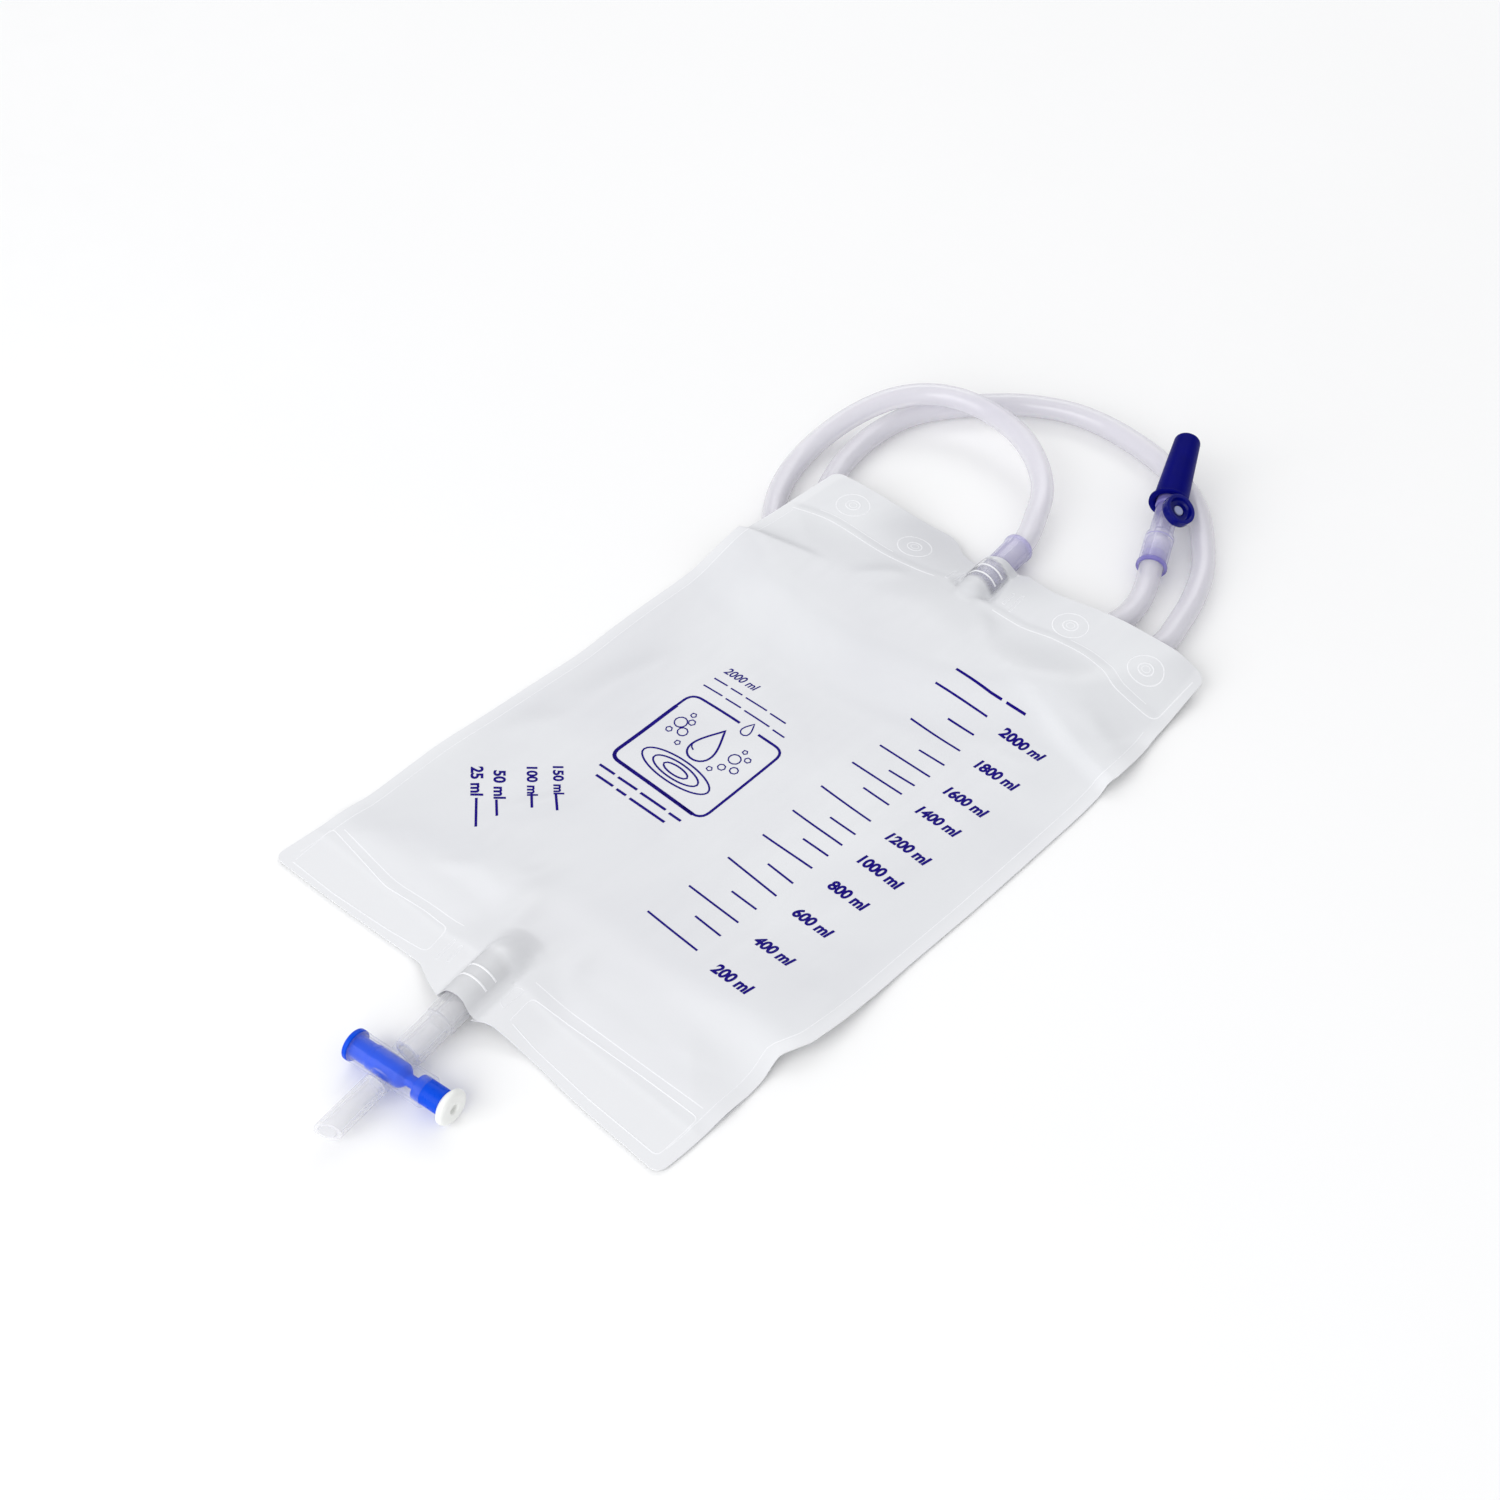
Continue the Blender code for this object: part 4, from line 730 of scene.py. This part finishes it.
def strokeMesh(strokes, rounded, lift):
    # each stroke: plan line, width, height; its section is a flat bar or a low round bead set on the film
    allPoints, allFaces, start = [], [], 0
    across = np.linspace(-1, 1, 5 if rounded else 2)
    for line, width, height in strokes:
        line = np.asarray(line, float)
        closed = len(line) > 3 and np.allclose(line[0], line[-1])
        line = evenSteps(line, stroke["beadStep"] if rounded else stroke["barStep"])
        ends = np.gradient(line, axis=0)
        if closed:
            ends[0] = ends[-1] = ends[0] + ends[-1]
        ends /= np.linalg.norm(ends, axis=1)[:, None]
        normal = np.stack([-ends[:, 1], ends[:, 0]], axis=1)
        plan = line[:, None] + normal[:, None] * (across * width / 2)[None, :, None]
        crown = height * (np.sqrt(np.maximum(1 - across ** 2, 0)) if rounded else np.ones(2))
        base = filmTop(plan[..., 0], plan[..., 1]) - film["layer"] + film["thickness"] + lift
        upper = np.dstack([plan, base + crown])
        under = np.dstack([plan, base - stroke["sunk"] - lift])
        ring = np.concatenate([upper, under[:, ::-1]], axis=1)
        if closed:
            ring = ring[:-1]
        count, around = ring.shape[:2]
        allPoints.append(ring.reshape(-1, 3))
        allFaces.append(gridFaces(count, around, wrapRows=closed, wrapCols=True, start=start).tolist())
        half = around // 2
        for row in () if closed else (0, count - 1):
            for k in range(half - 1):
                a = start + row * around
                quad = [a + k, a + k + 1, a + around - 2 - k, a + around - 1 - k]
                allFaces.append([quad if row else quad[::-1]])
        start += count * around
    return np.vstack(allPoints), [f for block in allFaces for f in block]


def strokePiece(name, strokes, finish, rounded=False, lift=stroke["clear"]):
    points, faces = strokeMesh(strokes, rounded, lift)
    piece = newPiece(name, inFrame(points), faces, finish)
    closeSeams(piece)
    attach(piece, bag)
    return piece


def circleLine(centre, radius, count=36, start=0.0, turn=tau):
    angle = np.linspace(start, start + turn, count + 1)
    return np.stack([centre[0] + radius * np.cos(angle), centre[1] + radius * np.sin(angle)], axis=1)


def roundedLine(points, radius, closed=False):
    # polyline with each inner corner swapped for a short curve
    p = [np.array(q, float) for q in points]
    span = range(len(p)) if closed else range(1, len(p) - 1)
    out = [] if closed else [p[0]]
    for i in span:
        back, on = p[i - 1] - p[i], p[(i + 1) % len(p)] - p[i]
        a = p[i] + back * min(0.48, radius / np.linalg.norm(back))
        b = p[i] + on * min(0.48, radius / np.linalg.norm(on))
        out += [a * (1 - t) ** 2 + 2 * p[i] * t * (1 - t) + b * t * t for t in np.linspace(0, 1, 9)]
    out += [out[0]] if closed else [p[-1]]
    return np.array(out)


weld = {"width": 0.55, "height": 0.10, "faint": 0.06, "eyeOuter": 7.3, "eyeInner": 3.1,
        "eyelets": [(-68.4, 132.3), (-33.0, 131.1), (45.7, 134.0), (82.4, 134.3)],
        "inletRings": (137.9, 132.6), "outletRings": (-144.6, -149.6), "ringWidth": 0.9, "ringHeight": 0.2,
        "panels": [[(-92, -151.8), (-94, -132.8), (-58, -137.6), (-38.6, -135.4), (-26.3, -135.4),
                    (-23.8, -147.4), (-43.3, -150.2), (-69.7, -152.6), (-92, -153.0)],
                   [(21.5, -148.9), (20.0, -137.4), (31, -135.6), (70, -133.2), (94.4, -132.4),
                    (94.3, -151.8), (62.3, -151.6), (23, -149.2)]],
        "panelLines": [[(-90, -130.4), (-57, -133.8), (-38, -131.8), (-22, -131.4)],
                       [(16.6, -132.4), (34.2, -131.2), (70, -129.8), (93, -128.8)]],
        "bars": [((17.6, 126.0), (16.6, 134.9)), ((22.2, 124.0), (20.4, 136.0)),
                 ((-9.9, 123.2), (-10.4, 130.8)), ((-6.4, 124.6), (-6.6, 132.2)),
                 ((-18.0, -148.2), (-19.4, -137.8)), ((-13.2, -146.9), (-14.8, -138.5))],
        "lastBar": [(13.9, -146.8), (13.3, -138.8), (16.3, -137.2), (16.9, -147.6)]}


def weldStrokes():
    w, h, faint = weld["width"], weld["height"], weld["faint"]
    strokes = []
    rightX = np.linspace(17, 90, 50)
    leftX = np.linspace(-86, -14, 46)
    rightWeld = np.stack([rightX, softTable(topWeld, rightX)], axis=1)
    leftWeld = np.stack([leftX, softTable(topWeld, leftX)], axis=1)
    strokes.append((roundedLine([*rightWeld, (98.2, 119.3), (98.0, 145.0)], 4), w, h))
    strokes.append((rightWeld[22:] + (1.5, 4.2), w * 0.7, faint))
    strokes.append((leftWeld, w, h))
    strokes.append((leftWeld[6:-14] + (0, 4.2), w * 0.7, faint))
    for sideTable, sign in ((leftEdge, 1), (rightEdge, -1)):
        ys = np.linspace(-148, 112, 120)
        xs = softTable(sideTable, ys) + sign * 5.0
        strokes.append((np.stack([xs, ys], axis=1), w * 0.6, faint))
    # panels of the bottom weld
    for panel, line in zip(weld["panels"], weld["panelLines"]):
        strokes.append((roundedLine(panel, 2.5), w * 0.9, h))
        strokes.append((roundedLine(line, 6), w * 0.7, faint))
    for cx, cy in weld["eyelets"]:
        strokes.append((circleLine((cx, cy), weld["eyeOuter"]), w, h))
        strokes.append((circleLine((cx, cy), weld["eyeInner"]), w * 1.1, h * 1.2))
        strokes.append((circleLine((cx, cy), weld["eyeInner"] - 1.4, 20), w * 0.6, faint))
    # narrow pressed bars beside the fittings, drawn round their middle lines
    for bar in weld["bars"]:
        a, b = np.array(bar)
        side = 0.75 * np.array([b[1] - a[1], a[0] - b[0]]) / np.linalg.norm(b - a)
        strokes.append((roundedLine([a - side, a + side, b + side, b - side], 0.7, closed=True), w * 0.5, h))
    strokes.append((roundedLine(weld["lastBar"], 0.8, closed=True), w * 0.5, h))
    # rings where the film sinks into the grooves of the fittings
    for rows, lineAt, turn, half in ((weld["inletRings"], inletLine, inletTurn, 6.6),
                                     (weld["outletRings"], outletLine, outletTurn, 6.2)):
        for y in rows:
            ring = np.linspace(-half, half, 30)
            line = np.stack([lineAt(y) + ring * math.cos(turn), y + ring * math.sin(turn)], axis=1)
            strokes.append((line, weld["ringWidth"], weld["ringHeight"]))
    return strokes


strokePiece("weldRelief", weldStrokes(), weldBead, rounded=True, lift=0.0)

# long ticks with the volume beside them, short ticks between: left end, right end, height at both ends
scale = {"width": 0.82, "labelSize": 6.4, "labelWeight": 0.040, "labelNarrow": 0.93, "slant": 0.18,
         "long": [(26.5, 50.8, 71.9, 74.2), (28.1, 52.8, 55.4, 55.4), (28.2, 52.9, 36.9, 37.1),
                  (26.4, 50.9, 22.7, 22.9), (25.9, 51.7, 5.4, 4.0), (26.3, 52.0, -11.1, -12.5),
                  (26.3, 50.9, -27.6, -27.8), (24.6, 50.1, -44.5, -46.2), (23.9, 49.1, -64.2, -65.1),
                  (21.6, 47.9, -83.0, -84.8)],
         "short": [(39.5, 51.8, 64.2, 65.0), (40.8, 53.1, 45.2, 45.5), (39.3, 51.6, 29.1, 29.6),
                   (38.1, 51.0, 15.6, 15.3), (39.1, 52.1, -4.5, -5.2), (38.8, 51.5, -19.3, -19.7),
                   (37.4, 50.5, -36.9, -37.7), (36.9, 49.3, -55.6, -55.9), (35.8, 49.1, -73.3, -74.2)],
         "labels": [(58.6, 71.6), (60.6, 52.6), (60.5, 34.1), (59.2, 19.3), (60.2, 0.7), (60.0, -14.8),
                    (60.3, -30.7), (59.4, -48.9), (58.9, -68.6), (57.6, -88.4)],
         "rules": [((29.0, 81.4), (46.0, 82.0), (51.0, 82.7)), ((53.0, 83.0), (61.5, 84.4))],
         "ruleWidth": 1.1}


def tickStrokes():
    strokes = [(np.array([(x0, y0), (x1, y1)]), scale["width"], stroke["ink"])
               for x0, x1, y0, y1 in scale["long"] + scale["short"]]
    # plain rules where the photographed bag has a heading
    strokes += [(np.array(rule), scale["ruleWidth"], stroke["ink"]) for rule in scale["rules"]]
    return strokes


strokePiece("scaleTicks", tickStrokes(), printInk)


def letteringPiece(name, labels, finish):
    # each label: words, plan place, size, turn in degrees, weight, slant, width; the letters lie on the film
    points, faces, start = [], [], 0
    for words, (x0, y0), size, turn, weight, slant, narrow in labels:
        letters = bpy.data.curves.new("letters", "FONT")
        letters.body = words
        letters.size, letters.shear, letters.offset = 1.0, slant, weight
        letters.resolution_u = 5
        letters.extrude = 0.05 / size
        carrier = bpy.data.objects.new("letters", letters)
        bpy.context.scene.collection.objects.link(carrier)
        mesh = bpy.data.meshes.new_from_object(carrier.evaluated_get(bpy.context.evaluated_depsgraph_get()))
        cut = bmesh.new()
        cut.from_mesh(mesh)
        for reachable in (2.4, 1.2):  # short edges, so that a letter follows the film
            bmesh.ops.triangulate(cut, faces=cut.faces)
            long = [e for e in cut.edges if e.calc_length() * size > reachable]
            bmesh.ops.subdivide_edges(cut, edges=long, cuts=1)
        bmesh.ops.triangulate(cut, faces=cut.faces)
        cut.to_mesh(mesh)
        cut.free()
        flat = coordsOf(mesh) * size * (narrow, 1, 1)
        c, s = math.cos(math.radians(turn)), math.sin(math.radians(turn))
        x, y = x0 + flat[:, 0] * c - flat[:, 1] * s, y0 + flat[:, 0] * s + flat[:, 1] * c
        z = filmTop(x, y) - film["layer"] + film["thickness"] + stroke["ink"] + flat[:, 2]
        points.append(np.stack([x, y, z], axis=1))
        faces += [[start + v for v in polygon.vertices] for polygon in mesh.polygons]
        start += len(flat)
        bpy.data.objects.remove(carrier)
        bpy.data.meshes.remove(mesh)
        bpy.data.curves.remove(letters)
    piece = newPiece(name, inFrame(np.vstack(points)), faces, finish)
    closeSeams(piece)
    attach(piece, bag)
    return piece


scaleLabels = [(f"{2000 - 200 * i} ml", place, scale["labelSize"], 0, scale["labelWeight"], scale["slant"],
                scale["labelNarrow"]) for i, place in enumerate(scale["labels"])]
letteringPiece("scaleNumerals", scaleLabels, printInk)

# low scale near the outlet: words, their place, size, then the two ends of the line
smallScale = {"turn": -42.0, "weight": 0.032, "slant": 0.1, "wide": 1.1, "line": 1.0,
              "rows": [("25 ml", (-79.2, -77.2), 6.5, (-64.9, -87.3), (-54.0, -97.3)),
                       ("50 ml", (-71.0, -72.9), 6.2, (-58.7, -82.8), (-52.2, -88.4)),
                       ("100 ml", (-63.7, -62.6), 5.5, (-51.2, -71.8), (-45.4, -76.9)),
                       ("150 ml", (-56.6, -55.6), 5.4, (-44.6, -65.5), (-37.9, -71.1))]}
smallTicks = [(np.array(row[3:]), smallScale["line"], stroke["ink"]) for row in smallScale["rows"]]
strokePiece("smallScaleTicks", smallTicks, printInk)
smallLabels = [(row[0], row[1], row[2], smallScale["turn"], smallScale["weight"], smallScale["slant"],
                smallScale["wide"]) for row in smallScale["rows"]]
letteringPiece("smallScaleNumerals", smallLabels, printInk)

# badge: frame, drop and a plain motif; bubbles are place and radius, rules are left end, height, lengths
badge = {"corners": [(-43.6, 7.6), (4.1, 8.8), (4.4, -38.0), (-44.3, -37.5)], "rounding": 5.0, "line": 1.1,
         "heavy": 1.6, "gap": (-18.7, -9.3), "drop": (-14.0, 7.9), "dropSize": 2.7, "middle": (-20.0, -15.5),
         "motif": 1.32, "rings": (4.6, 8.6, 12.8),
         "bubbles": [(9.5, 6.6, 1.9), (12.4, 3.2, 1.3), (8.8, 1.8, 1.2), (12.6, 8.8, 1.0), (9.9, 10.6, 0.8),
                     (-9.2, 4.2, 1.6), (-12.2, 6.6, 2.0), (-9.6, 8.6, 1.1), (-13.0, 2.4, 1.0),
                     (-11.2, 11.0, 0.9), (6.6, -1.0, 0.9), (-7.4, 0.2, 0.9)],
         "thinRules": [(-43.6, 20.0, (7, 6, 11, 8)), (-44.0, 14.2, (10, 8, 13, 6))],
         "boldRules": [(-43.5, -43.6, (8, 10, 13, 6)), (-40.5, -48.4, (9, 5, 18))],
         "label": ("2000 ml", (-43.6, 25.0), 5.6, 0, 0.014, 0.2, 0.9)}


def dropLine(centre, size, count=40):
    # teardrop: circle below, its upper half drawn up to a point; x = s sin a sin(a/2)^1.5, y = s cos a
    a = np.linspace(0, tau, count + 1)
    return np.stack([centre[0] + 1.05 * size * np.sin(a) * np.abs(np.sin(a / 2)) ** 1.5,
                     centre[1] + 1.35 * size * np.cos(a)], axis=1)


def rulesOf(rows, width):
    # rows of short plain rules with gaps of 2 mm between them, each rising a little
    strokes = []
    for x, y, lengths in rows:
        for length in lengths:
            strokes.append((np.array([(x, y), (x + length, y + 0.02 * length)]), width, stroke["ink"]))
            x += length + 2.0
    return strokes


def badgeStrokes():
    (x0, y0), (x1, y1), (x2, y2), (x3, y3) = badge["corners"]
    open0, open1 = badge["gap"]
    frameLine = [(open0, y0 + 0.5), (x0, y0), (x3, y3), (x2, y2), (x1, y1), (open1, y1 - 0.3)]
    heavyLine = [(x0, y0 - 9), (x3, y3), (x2 - 4, y2)]
    strokes = [(roundedLine(frameLine, badge["rounding"]), badge["line"]),
               (roundedLine(heavyLine, badge["rounding"]), badge["heavy"]),
               (dropLine(badge["drop"], badge["dropSize"]), 0.55)]
    # plain motif: a drop over rings on water, bubbles on both sides
    centre, size = np.array(badge["middle"]), badge["motif"]
    strokes.append((dropLine(centre + np.array([0, 5.6]) * size, 5.4 * size, 70), 0.85))
    glint = circleLine(centre + np.array([-1.6, 3.6]) * size, 2.4 * size, 16, math.pi, 0.45 * math.pi)
    strokes.append((glint, 0.6))
    for radius in badge["rings"]:
        ring = circleLine((0, 0), radius * size, 60) * (1, 0.36)
        strokes.append((centre + np.array([0, -8.2]) * size + ring, 0.75))
    for x, y, r in badge["bubbles"]:
        strokes.append((circleLine(centre + np.array([x, y]) * size, r * size, 20), 0.55))
    strokes = [(line, width, stroke["ink"]) for line, width in strokes]
    # plain rules where the photographed bag has words
    return strokes + rulesOf(badge["thinRules"], 0.7) + rulesOf(badge["boldRules"], 1.1)


strokePiece("volumeBadge", badgeStrokes(), printInk)
letteringPiece("volumeBadgeText", [badge["label"]], printInk)
print("welds and print on")


# inlet connector: grooved socket welded between the films

def makeInlet():
    place = Place(inletMouth - inletAxis * inlet["length"], inletAxis, (1, 0, 0))
    r, end, floor = inlet["radius"], inlet["length"], inlet["length"] - inlet["depth"]
    outline = [(inlet["bore"], 0, 0.2), (r, 0, 0.4)]
    for g in inlet["grooves"]:
        half, low = inlet["grooveWidth"] / 2, r - inlet["grooveDepth"]
        outline += [(r, g - half), (low, g - half + 0.1, 0.1), (low, g + half - 0.1, 0.1), (r, g + half)]
    outline += [(r, end - inlet["lipLength"] - 0.4, 0.3), (r + inlet["lip"], end - inlet["lipLength"], 0.3),
                (r + inlet["lip"], end, 0.4), (inlet["socket"], end, 0.25), (inlet["socket"], floor, 0.2),
                (inlet["bore"], floor, 0.2)]
    piece = turned("inletSocket", outline, place, clearViolet, 80)
    slope = math.tan(inlet["bevel"])
    cutSlanted(piece, place, 30.0, (-30.0, 0.0), (r * slope, slope))
    place.deepen(piece, [(end - inlet["lipLength"] - 0.5, end + 0.1, 5.0, 0.4), (5.5, 18.5, 5.0, 0.3)])
    ridePiece(piece, bag, "inlet_connector")


makeInlet()


# outlet port, tap and drain spout, in line below the bag


def makeOutlet():
    o = outlet
    down = Place(outletEdge, outletAxis, outletSide)
    port = turned("outletSleeve", [(o["bore"], -o["inside"], 0.2), (o["port"], -o["inside"], 0.4),
                                   (o["port"], o["outside"], 0.4), (o["bore"], o["outside"], 0.2)],
                  down, hazyPlastic, 64)
    ridePiece(port, bag, "outlet_port")
    start, end = o["outside"] + 0.3, o["tapDistance"] - o["collarReach"] - 0.3
    hose = turned("outletHose", [(o["bore"], start, 0.2), (o["hose"], start, 0.5), (o["hose"], start + 4, 2),
                                 (o["hose"] - 0.12, (start + end) / 2, 3), (o["hose"], end - 4, 2),
                                 (o["hose"], end, 0.5), (o["bore"], end, 0.2)], down, hazyPlastic, 64)
    ridePiece(hose, bag, "outlet_tube")

    centre = outletEdge + outletAxis * o["tapDistance"]
    down = Place(centre, outletAxis, outletSide)
    across = Place(centre, outletSide, outletAxis)
    inner, wall, left, right = o["barrel"] - o["wall"], o["barrel"], -o["left"], o["right"]
    slim = wall - 0.12
    body = turned("tapShell", [(0, left), (wall, left, 0.3), (wall, left + 1.4, 0.2), (slim, left + 1.7, 0.1),
                               (slim, right - 1.7, 0.1), (wall, right - 1.4, 0.2), (wall, right, 0.3),
                               (0, right)], across, clearPlastic, 80)

    def rod(name, radius, start, end, place, sides, rounding=(0, 0), wider=0.0):
        # solid of revolution between two heights, its start end a little wider if asked
        outline = [(0, start), (radius + wider, start, rounding[0]), (radius, end, rounding[1]), (0, end)]
        return turned(name, outline, place, None, sides)

    body = combined(
        body,
        ("UNION", rod("upperCollar", o["collar"] - 0.1, -o["collarReach"], -inner, down, 60, (0.4, 0), 0.1)),
        ("UNION", rod("lowerCollar", o["spout"], inner * 0.98, o["collarReach"], down, 62, (0, 0.4), 0.2)),
        ("UNION", rod("upperStub", o["stub"], -o["stubReach"], -inner / 2, down, 56, (0.5, 0))),
        ("UNION", rod("lowerStub", o["spoutStub"], inner / 2, o["spoutStubReach"], down, 54, (0, 0.4))),
        ("DIFFERENCE", rod("barrelBore", inner, -30, 30, across, 78)),
        ("DIFFERENCE", rod("ductBore", o["duct"], -40, 40, down, 44)))
    ridePiece(body, bag, "tap_body")

    start, end, slope = o["collarReach"] + 0.3, o["spoutEnd"], math.tan(o["spoutBevel"])
    spout = turned("drainTip", [(o["spoutBore"], start, 0.2), (o["spout"], start, 0.4), (o["spout"], end, 0),
                                (o["spoutBore"], end, 0)], down, hazyPlastic, 64)
    middle = end - o["spout"] * slope
    cutSlanted(spout, down, 20.0, (middle, -slope), (middle + 40.0, 0.0))
    ridePiece(spout, bag, "drain_spout")
    return across


# profiles of the moving pieces: radius, height along the barrel, rounding
spool = {"profile": [(0, -17.5), (5.9, -17.5, 0.5), (5.9, -15.6, 0.3), (4.2, -15.6, 0.3), (4.2, -8.7, 0.3),
                     (4.6, -8.3, 0.3), (4.6, -7.2, 0.1), (4.42, -6.9, 0.1), (4.42, -6.3, 0.1),
                     (4.6, -6.0, 0.1), (4.6, 4.2, 0.3), (4.35, 5.2, 0.3), (3.6, 6.2, 0.3), (2.2, 7.6, 0.5),
                     (2.2, 11.4, 0.4), (4.6, 12.2, 0.3), (4.6, 23.6, 0.3), (2.6, 23.6, 0.1),
                     (2.6, 24.9, 0.1), (0, 24.9)]}
button = {"profile": [(0, 25.2), (2.9, 25.2, 0.1), (2.9, 23.9, 0.1), (5.0, 23.9, 0.3), (6.3, 24.9, 0.5),
                      (6.7, 25.3, 0.4), (6.7, 26.7, 0.8), (5.7, 27.5, 0.6), (4.7, 27.7, 0.6),
                      (2.1, 27.7, 0.3), (1.7, 27.3, 0.2), (1.7, 26.1, 0.2), (0, 26.1)]}


def makeSpool(across):
    core = turned("tapCore", spool["profile"], across, vividBlue, 72)
    ridePiece(core, plunger, "tap_spool")
    knob = turned("tapButton", button["profile"], across, whiteButton, 72)
    ridePiece(knob, plunger, "tap_button")


makeSpool(makeOutlet())
print("tap made")


# catheter connector with its sample port and cap

connector = {"cuff": 6.2, "cuffLength": 17.0, "cuffRings": (2.3, 14.1, 14.5, 15.1, 15.5), "lip": 0.4,
             "lipLength": 1.3, "neck": 5.1, "neckEnd": 33.5, "collar": 5.7, "collarEnd": 41.0,
             "nozzleBase": 4.4, "nozzleTip": 3.1, "nozzleEnd": 66.0, "socket": 5.3, "socketDepth": 15.0,
             "bore": 3.2, "nozzleBore": 1.9, "sampleAt": 26.3, "sampleNeck": 4.3, "sampleReach": 8.3,
             "plug": 2.2, "plugBase": 6.9, "plugGap": 2.5, "gap": 0.3}
portDirection = np.array([0.54, 0.06, 0.84])
# profiles: radius, height along the sample port or along the nozzle, rounding
sampleRing = {"profile": [(2.5, 8.6, 0.1), (4.6, 8.6, 0.1), (4.6, 7.5, 0.2), (7.0, 7.5, 0.5),
                          (7.0, 11.7, 0.5), (5.3, 11.7, 0.35), (5.1, 10.6, 0.3), (4.5, 9.5, 0.4),
                          (2.9, 9.5, 0.2), (2.5, 9.8, 0.1)]}
nozzleCap = {"profile": [(0, 72.4), (4.6, 72.4, 0.5), (6.0, 42.0, 0.5), (6.0, 36.4, 0.3), (7.0, 35.4, 0.3),
                         (9.0, 35.4, 0.4), (9.0, 36.9, 0.4), (7.55, 37.3, 0.5), (7.4, 38.9, 0.3),
                         (5.7, 72.5, 0.9), (4.7, 73.5, 0.9), (2.0, 73.42, 0.5), (0, 73.36)]}


def makeConnector():
    k = connector
    place = Place(endMouth, endAxis, portDirection)
    cuff, neck, turnOver = k["cuff"], k["neck"], k["cuffLength"]
    outline = [(0, 0), (cuff + k["lip"], 0, 0.3), (cuff + k["lip"], k["lipLength"], 0.3),
               (cuff, k["lipLength"] + 0.4, 0.3), *[(cuff, height, 0) for height in k["cuffRings"]],
               (cuff, turnOver, 0.9), (neck, turnOver + 1.5, 0.9), (neck, k["neckEnd"], 0.4),
               (k["collar"], k["neckEnd"] + 0.4, 0.3), (k["collar"], k["collarEnd"], 0.4),
               (k["nozzleBase"], k["collarEnd"] + 1.0, 0.6), (k["nozzleTip"], k["nozzleEnd"], 0.5),
               (0, k["nozzleEnd"])]
    body = turned("catheterConnector", outline, place, clearViolet, 80)
    port = Place(place.at(k["sampleAt"]), place.x, endAxis)
    branch = turned("sampleNeck", [(0, 1.0), (k["sampleNeck"], 1.0, 0),
                                   (k["sampleNeck"], k["sampleReach"], 0.3), (0, k["sampleReach"])],
                    port, None, 58)
    bore = turned("connectorBore", [(0, -15), (k["socket"], -15, 0), (k["socket"], k["socketDepth"], 0.3),
                                    (k["bore"], k["socketDepth"], 0.2), (k["bore"], k["neckEnd"], 0.3),
                                    (k["nozzleBore"], k["neckEnd"] + 2, 0.3), (k["nozzleBore"], 100, 0),
                                    (0, 100)], place, None, 60)
    seat = k["plugBase"] - k["gap"]
    side = turned("sampleBore", [(0, 0.33), (1.1, 0.33, 0), (1.1, seat, 0.1), (k["plugGap"], seat, 0),
                                 (k["plugGap"], 30, 0), (0, 30)], port, None, 40)
    combined(body, ("UNION", branch), ("DIFFERENCE", bore), ("DIFFERENCE", side))
    place.deepen(body, [(-0.1, k["lipLength"] + 0.6, 5.0, 0.8), (14.3, 15.3, 6.0, 0.5),
                        (k["sampleAt"] + 1, k["collarEnd"], 4.0, 0.75),
                        (k["sampleAt"] - 4.6, k["sampleAt"] + 4.6, 5.3, 0.8)])
    ridePiece(body, bag, "catheter_connector")
    ring = turned("sampleRing", sampleRing["profile"], port, navyRing, 80)
    ridePiece(ring, bag, "sample_port_ring")
    plug = turned("sampleSeptum", [(0, k["plugBase"]), (k["plug"], k["plugBase"], 0.1), (k["plug"], 9.9, 0.4),
                                   (0.8, 10.0, 0.4), (0, 9.85)], port, greyPlug, 48)
    ridePiece(plug, bag, "sample_septum")
    lid = turned("protectiveCap", nozzleCap["profile"], place, navyCap, 80)
    ridePiece(lid, cap, "protective_cap")
    return [body, ring, plug, lid]


onTube = makeConnector()
print("connector made")


# floor and light

studio = {"floorHalf": 6.0, "floorHeight": -0.0006, "sky": (0.985, 0.99, 1.0, 1), "skyStrength": 0.70,
          "lookAt": (0, 0.03, 0), "lamps": [("frontSoftbox", (0.1, -1.9, 1.2), (2.6, 1.8), 36.0),
                                            ("backSoftbox", (-0.8, 1.5, 1.5), (2.0, 0.8), 9.0)]}


def makeStudio():
    half, height = studio["floorHalf"], studio["floorHeight"]
    corners = [(-half, -half, height), (half, -half, height), (half, half, height), (-half, half, height)]
    newPiece("floor", corners, [(0, 1, 2, 3)], paleFloor)
    world = bpy.data.worlds.new("studio")
    world.use_nodes = True
    world.node_tree.nodes["Background"].inputs["Color"].default_value = studio["sky"]
    world.node_tree.nodes["Background"].inputs["Strength"].default_value = studio["skyStrength"]
    scene = bpy.context.scene
    scene.world = world
    for name, place, size, power in studio["lamps"]:
        lamp = bpy.data.lights.new(name, "AREA")
        lamp.shape, lamp.size, lamp.size_y, lamp.energy = "RECTANGLE", size[0], size[1], power
        holder = bpy.data.objects.new(name, lamp)
        holder.location = place
        toMiddle = Vector(studio["lookAt"]) - Vector(place)
        holder.rotation_euler = toMiddle.to_track_quat("-Z", "Y").to_euler()
        scene.collection.objects.link(holder)
    scene.view_settings.view_transform = "Standard"
    scene.view_settings.look = "None"
    scene.cycles.transparent_max_bounces = 32  # many clear walls behind each other


makeStudio()
print("studio ready")
